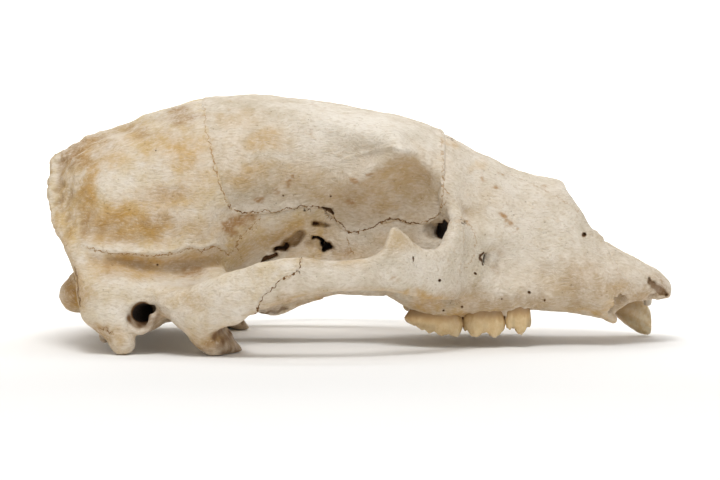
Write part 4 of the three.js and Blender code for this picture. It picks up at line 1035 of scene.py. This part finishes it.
class SKULL_OT_snout(bpy.types.Operator):
    """Make the snout: upper jaws, palate and nose bones, with room for the teeth"""

    bl_idname = "skull.snout"
    bl_label = "Snout"

    def execute(self, context):
        near, far = CROWN_SIDES
        blocks = [
            ((rear, start, CROWN_FLOOR), (front, end, top))
            for rear, front, top in CROWN_SPACES
            for start, end in ((near, far), (-far, -near))
        ]
        piece = skin_bone(
            "snout", context.scene.skull_bone.snout_grain,
            lumps=[TEAR_WALL, CHEEK_WALL, *TOOTH_WALLS], blocks=[*blocks, CANINE_SPACE],
        )
        seams = ("sphenoid_low", "cheek_front", "tear_bone", "nose_bone")
        dress_bone(piece, "snout", [(14, 1.6, 6), (2.8, 0.3, 7)], seams)
        return {"FINISHED"}


class SKULL_OT_premaxilla(bpy.types.Operator):
    """Make the premaxilla: the tip of the muzzle with the sockets of the front teeth"""

    bl_idname = "skull.premaxilla"
    bl_label = "Premaxilla"

    def execute(self, context):
        piece = skin_bone("premaxilla", context.scene.skull_bone.small_grain)
        dress_bone(piece, "premaxilla", [(7, 0.6, 8), (2, 0.25, 9)], holes=())
        return {"FINISHED"}


class SKULL_OT_cheekbones(bpy.types.Operator):
    """Make both cheek bones, the front halves of the arches"""

    bl_idname = "skull.cheekbones"
    bl_label = "Cheek bones"

    def execute(self, context):
        for node in ("cheekbone_left", "cheekbone_right"):
            piece = skin_bone(node, context.scene.skull_bone.small_grain, 24)
            dress_bone(piece, node, [(9, 0.5, 10), (2, 0.14, 11)])
        return {"FINISHED"}


# The teeth

# Cheek teeth of one side, from front to rear: place and size in mm, how much narrower their
# rear is, how much shallower, and cusps as [along, across, share of the height, width]
CHEEK_TEETH = {
    "premolar": dict(
        x=71.7, y=26.6, length=12.2, width=9.2, neck=19, tip=6, taper=0.1, heel=1.6,
        cusps=[
            (0.08, 0.26, 1, 0.2), (-0.34, 0.26, 0.66, 0.16), (-0.2, -0.3, 0.5, 0.18),
            (0.38, 0.1, 0.3, 0.14),
        ],
    ),
    "first_molar": dict(
        x=56.3, y=26, length=19, width=13.4, neck=17.4, tip=4.9, taper=0, heel=0,
        cusps=[
            (0.24, 0.32, 1, 0.17), (-0.2, 0.33, 0.96, 0.17), (0.26, -0.34, 0.7, 0.16),
            (-0.18, -0.34, 0.66, 0.17), (0.46, 0.2, 0.4, 0.1), (-0.46, 0.1, 0.44, 0.12),
            (0.02, 0.38, 0.5, 0.08),
        ],
    ),
    "second_molar": dict(
        x=33.6, y=25.6, length=27, width=14.8, neck=16.6, tip=5.1, taper=0.42, heel=5.2,
        cusps=[
            (0.36, 0.33, 1, 0.12), (0.14, 0.34, 0.9, 0.12), (0.36, -0.33, 0.7, 0.13),
            (0.1, -0.34, 0.6, 0.13), (-0.08, 0.33, 0.62, 0.08), (-0.22, 0.3, 0.6, 0.08),
            (-0.36, 0.2, 0.52, 0.09), (-0.44, 0, 0.46, 0.1),
        ],
    ),
}
CORNERS = 0.76  # how square the outline of a cheek tooth is: 1 is an oval, 0 a square
ROOT_LENGTH = 6  # mm of each root that is made, hidden in the jaw
# From the neck down to the edge of the crown: how wide a tooth is, and how far it has dropped
WALL_WIDTH = ([0, 0.3, 0.6, 0.8, 1], [0.85, 0.93, 1.0, 0.98, 0.9])
WALL_DROP = ([0, 0.6, 0.8, 1], [0, 0.5, 0.6, 0.64])
LEFT_WEAR = 0.25  # mm more from each left cheek tooth to the next


def shape_tooth(piece, sizes, flip, wear):
    """Turns a sphere into a cheek tooth that hangs from its neck."""
    ball = places_of(piece)
    ball /= np.linalg.norm(ball, axis=1)[:, None]
    turn = np.arctan2(ball[:, 1], ball[:, 0])
    level = -np.arcsin(np.clip(ball[:, 2], -1, 1)) / (math.pi / 2)
    squared = lambda n: np.sign(n) * np.abs(n) ** CORNERS
    height = sizes["neck"] - sizes["tip"] - wear
    wall = np.clip(level / 0.5, 0, 1)
    face = np.clip((level - 0.5) / 0.5, 0, 1)
    root = np.clip(-level, 0, 1)
    scale = np.interp(wall, *WALL_WIDTH) * (1 - face) * (1 - 0.3 * root)
    along, across = squared(np.cos(turn)) * 0.5, squared(np.sin(turn)) * 0.5
    # The wall is drawn in between the cusps.
    for at, side, high, wide in sizes["cusps"]:
        lean = np.exp(-(((along - at) / (wide * 0.8)) ** 2)) * (across * side > 0)
        scale *= 1 + 0.1 * high * lean * (1 - root) * (1 - face)
    along, across = along * scale, across * scale * 0.93
    drop = np.interp(wall, *WALL_DROP) * height - ROOT_LENGTH * root
    rise = np.zeros(len(ball))
    for at, side, high, wide in sizes["cusps"]:
        away = np.hypot((along - at) / (wide * 1.55), (across - side) / (wide * 2.2))
        rise = np.maximum(rise, high * np.clip(1 - away**1.7, 0, 1))
    basin = face * np.exp(-((across / 0.16) ** 2)) * 0.06
    grain = mottle(np.stack([along, across, drop * 0.02], 1) * 0.02, 1.2, 51)
    top = step_up(wall, 0.55, 1.0)
    drop += top * height * (0.37 * rise - basin + 0.02 * grain)
    drop -= sizes["heel"] * np.clip((-0.08 - along) / 0.4, 0, 1) * np.clip(drop / height, 0, 1)
    places = np.stack([
        sizes["x"] + along * sizes["length"],
        flip * (sizes["y"] + across * sizes["width"] * (1 + sizes["taper"] * along)),
        sizes["neck"] - drop,
    ], 1)
    set_places(piece, places * MM)
    share = drop / height
    set_mark(piece, "neck", 1 - step_up(share + 0.06 * grain, 0.15, 0.5))
    fissure = face * (1 - step_up(rise, 0.05, 0.35)) * step_up(0.42 - np.abs(across), 0, 0.1)
    # The wall is darker in the grooves between the cusps: painted shade.
    groove = (1 - step_up(rise, 0.0, 0.5)) * step_up(share, 0.3, 0.6) * (1 - face)
    near_neck = 1 - step_up(share, 0.0, 0.34)
    set_mark(piece, "dark", fissure * 0.6 + 0.55 * near_neck + 0.35 * groove)
    set_mark(piece, "worn", step_up(rise, 0.72, 1.0) * top)


class SKULL_OT_cheek_teeth(bpy.types.Operator):
    """Make the cheek teeth of both sides"""

    bl_idname = "skull.cheek_teeth"
    bl_label = "Cheek teeth"

    def execute(self, context):
        colours = context.scene.skull_teeth
        enamel = material_named("worn_enamel", worn_enamel, colours.enamel, colours.dentine)
        for side, flip in (("right", -1), ("left", 1)):
            for i, (name, sizes) in enumerate(CHEEK_TEETH.items()):
                bpy.ops.object.select_all(action="DESELECT")
                bpy.ops.mesh.primitive_uv_sphere_add(segments=96, ring_count=72, radius=1)
                piece = bpy.context.object
                piece.name = piece.data.name = f"{name}_{side}"
                shape_tooth(piece, sizes, flip, LEFT_WEAR * i if flip > 0 else 0.0)
                if flip > 0:
                    piece.data.flip_normals()
                finish_piece(piece, enamel, "bone")
        return {"FINISHED"}


# Far canine: a curved cone from its root to its blunt tip [x, y, z, radius]
CANINE_LINE = [
    (104, 22, 34, 5), (109, 21.8, 29, 5.9), (113.5, 21.6, 24.5, 6.6), (118, 21.4, 20.6, 6.9),
    (122, 21.2, 17, 7.05), (126, 21, 13.4, 7.15), (129.4, 20.8, 10.2, 7), (131.7, 20.7, 7.2, 6),
    (133.4, 20.6, 4.6, 4.7), (134.6, 20.5, 2.9, 3.4), (135.3, 20.5, 1.7, 2.2), (135.7, 20.5, 1, 1),
]
CANINE_FRONT = 136.9  # the broken front face of the crown
CANINE_ROUNDING = 1.2  # mm over which the crown is rounded into that face
CANINE_FLATNESS = 0.86  # width across the jaw as a share of the width along it


class SKULL_OT_canine(bpy.types.Operator):
    """Make the left canine, the only one that is still in its socket"""

    bl_idname = "skull.canine"
    bl_label = "Canine"

    def execute(self, context):
        colours = context.scene.skull_teeth
        bpy.ops.object.select_all(action="DESELECT")
        bpy.ops.mesh.primitive_cylinder_add(vertices=64, radius=1, depth=1, end_fill_type="TRIFAN")
        piece = bpy.context.object
        piece.name = piece.data.name = "canine_left"
        with editing(piece, "FACE"):
            for level in (0.49, *np.linspace(-0.47, 0.47, 48).tolist()):
                bpy.ops.mesh.select_all(action="SELECT")
                bpy.ops.mesh.bisect(plane_co=(0, 0, level), plane_no=(0, 0, 1))
        rod = places_of(piece)
        share = np.clip(rod[:, 2] + 0.5, 0, 1)
        keys = np.array(CANINE_LINE)
        steps = np.linspace(0, 1, len(keys))
        centre = np.stack([np.interp(share, steps, keys[:, k]) for k in range(3)], 1)
        radius = np.interp(share, steps, keys[:, 3])
        halfway = (steps[1:] + steps[:-1]) / 2
        ahead = np.stack([np.interp(share, halfway, np.diff(keys[:, k])) for k in range(3)], 1)
        ahead /= np.linalg.norm(ahead, axis=1)[:, None]
        across = np.cross(np.array([0.0, 1.0, 0.0]), ahead)
        across /= np.linalg.norm(across, axis=1)[:, None]
        turn = np.arctan2(rod[:, 1], rod[:, 0])
        out = np.hypot(rod[:, 0], rod[:, 1])
        ribs = 1 + 0.02 * np.sin(turn * 9) * step_up(share, 0.35, 0.6)
        ribs -= 0.1 * np.exp(-(((turn + 1.9) / 0.35) ** 2)) * step_up(share, 0.45, 0.7)
        places = centre + across * (np.cos(turn) * radius * out * ribs)[:, None]
        places[:, 1] += np.sin(turn) * radius * CANINE_FLATNESS * out * ribs
        front = np.maximum(places[:, 0] - CANINE_FRONT + CANINE_ROUNDING, 0)
        places[:, 0] -= front - CANINE_ROUNDING * (1 - np.exp(-front / CANINE_ROUNDING))
        places[:, 2] = np.maximum(places[:, 2], 0.05)
        set_places(piece, places * MM)
        with editing(piece, "FACE"):
            bpy.ops.mesh.normals_make_consistent(inside=False)
        set_mark(piece, "neck", 1 - step_up(share, 0.3, 0.62))
        set_mark(piece, "worn", step_up(share, 0.9, 1.0))
        set_mark(piece, "dark", 0.25 * np.sin(turn * 3 + share * 9) ** 2)
        enamel = material_named("old_enamel", worn_enamel, colours.old_enamel, colours.dentine)
        finish_piece(piece, enamel, "bone")
        return {"FINISHED"}


# The studio

# The paper sweep under and behind the skull, in metres: its width and length, where it starts,
# where its flat part ends, and the radius of its bend
SWEEP_WIDTH = 10
SWEEP_LENGTH = 9
SWEEP_START = -4
SWEEP_FLAT_END = 1.6
SWEEP_RADIUS = 1.4
# Soft round lights: place, width, the setting of their power and their share of it, and aim
LIGHTS = {
    "key_light": ((-0.1, -0.6, 1.3), 0.6, "key_power", 1.0, (0.02, 0, 0.05)),
    "fill_light": ((0.8, -1.2, 0.5), 0.8, "key_power", 0.15, (0, 0, 0.05)),
    "backdrop_light": ((0, 0.9, 1.9), 2.4, "backdrop_power", 1.0, (0, 3.2, 0.6)),
}


def aim(thing, target):
    """Turns a light or a camera to look at a place."""
    toward = Vector(target) - thing.location
    thing.rotation_euler = toward.to_track_quat("-Z", "Y").to_euler()


class SKULL_OT_stage(bpy.types.Operator):
    """Set up the floor, the soft studio lights and the camera"""

    bl_idname = "skull.stage"
    bl_label = "Studio"

    def execute(self, context):
        studio = context.scene.skull_studio
        bpy.ops.object.select_all(action="DESELECT")
        bpy.ops.mesh.primitive_grid_add(x_subdivisions=4, y_subdivisions=60, size=1)
        floor = context.object
        floor.name = floor.data.name = "studio_floor"
        places = places_of(floor)
        run = (places[:, 1] + 0.5) * SWEEP_LENGTH + SWEEP_START
        bend = np.clip((run - SWEEP_FLAT_END) / SWEEP_RADIUS, 0, math.pi / 2)
        past = np.maximum(run - SWEEP_FLAT_END - SWEEP_RADIUS * math.pi / 2, 0)
        set_places(floor, np.stack([
            places[:, 0] * SWEEP_WIDTH,
            np.minimum(run, SWEEP_FLAT_END) + SWEEP_RADIUS * np.sin(bend),
            SWEEP_RADIUS * (1 - np.cos(bend)) + past,
        ], 1))
        bpy.ops.object.shade_smooth()
        # Matte photo paper, with a tooth of about 3 mm.
        material, tree, where = new_material("matte_paper_sweep")
        tooth = pattern(tree, where, 3, 2, 0.55)
        paper = painted(tree, studio.floor, [(linear("#E8E6E2"), *EVEN, 0.03, 0.0, tooth)])
        shader = add_node(tree, "BsdfPrincipled", {"Base Color": paper, "Roughness": 0.9})
        add_node(tree, "OutputMaterial", {"Surface": shader})
        floor.data.materials.append(material)

        world = bpy.data.worlds.new("studio_sky")
        world.use_nodes = True
        sky = world.node_tree.nodes["Background"].inputs
        sky["Color"].default_value = (1, 1, 1, 1)
        sky["Strength"].default_value = studio.sky_strength
        context.scene.world = world

        for name, (place, width, power, share, target) in LIGHTS.items():
            bpy.ops.object.light_add(type="AREA", location=place)
            light = context.object
            light.name = name
            light.data.shape = "DISK"
            light.data.size = width
            light.data.energy = getattr(studio, power) * share
            aim(light, target)

        x, y, z = VIEW_AIM
        y, z = y - VIEW_AWAY * math.cos(VIEW_RISE), z + VIEW_AWAY * math.sin(VIEW_RISE)
        bpy.ops.object.camera_add(location=(x, y, z))
        camera = context.object
        camera.name = "view_camera"
        aim(camera, VIEW_AIM)
        camera.data.lens = VIEW_LENS
        camera.data.sensor_width = VIEW_SENSOR
        context.scene.camera = camera
        context.scene.view_settings.view_transform = "Standard"
        return {"FINISHED"}


class SKULL_PT_panel(bpy.types.Panel):
    """Steps that make the skull"""

    bl_label = "Skull"
    bl_idname = "SKULL_PT_panel"
    bl_space_type = "VIEW_3D"
    bl_region_type = "UI"
    bl_category = "Skull"

    def draw(self, context):
        for step in STEPS:
            self.layout.operator(step.bl_idname)
        for group in SETTINGS:
            box, settings = self.layout.box(), getattr(context.scene, group)
            for name in settings.__annotations__:
                box.prop(settings, name)


STEPS = (
    SKULL_OT_stage,
    SKULL_OT_braincase,
    SKULL_OT_forehead,
    SKULL_OT_snout,
    SKULL_OT_premaxilla,
    SKULL_OT_cheekbones,
    SKULL_OT_cheek_teeth,
    SKULL_OT_canine,
)
SETTINGS = {
    "skull_bone": BoneSettings,
    "skull_teeth": ToothSettings,
    "skull_studio": StudioSettings,
}


def register():
    for kind in (*SETTINGS.values(), *STEPS, SKULL_PT_panel):
        bpy.utils.register_class(kind)
    for name, kind in SETTINGS.items():
        setattr(bpy.types.Scene, name, bpy.props.PointerProperty(type=kind))


def unregister():
    for name in SETTINGS:
        delattr(bpy.types.Scene, name)
    for kind in reversed((*SETTINGS.values(), *STEPS, SKULL_PT_panel)):
        bpy.utils.unregister_class(kind)


def main():
    register()
    for step in STEPS:
        group, name = step.bl_idname.split(".")
        getattr(getattr(bpy.ops, group), name)()


if __name__ == "__main__":
    main()
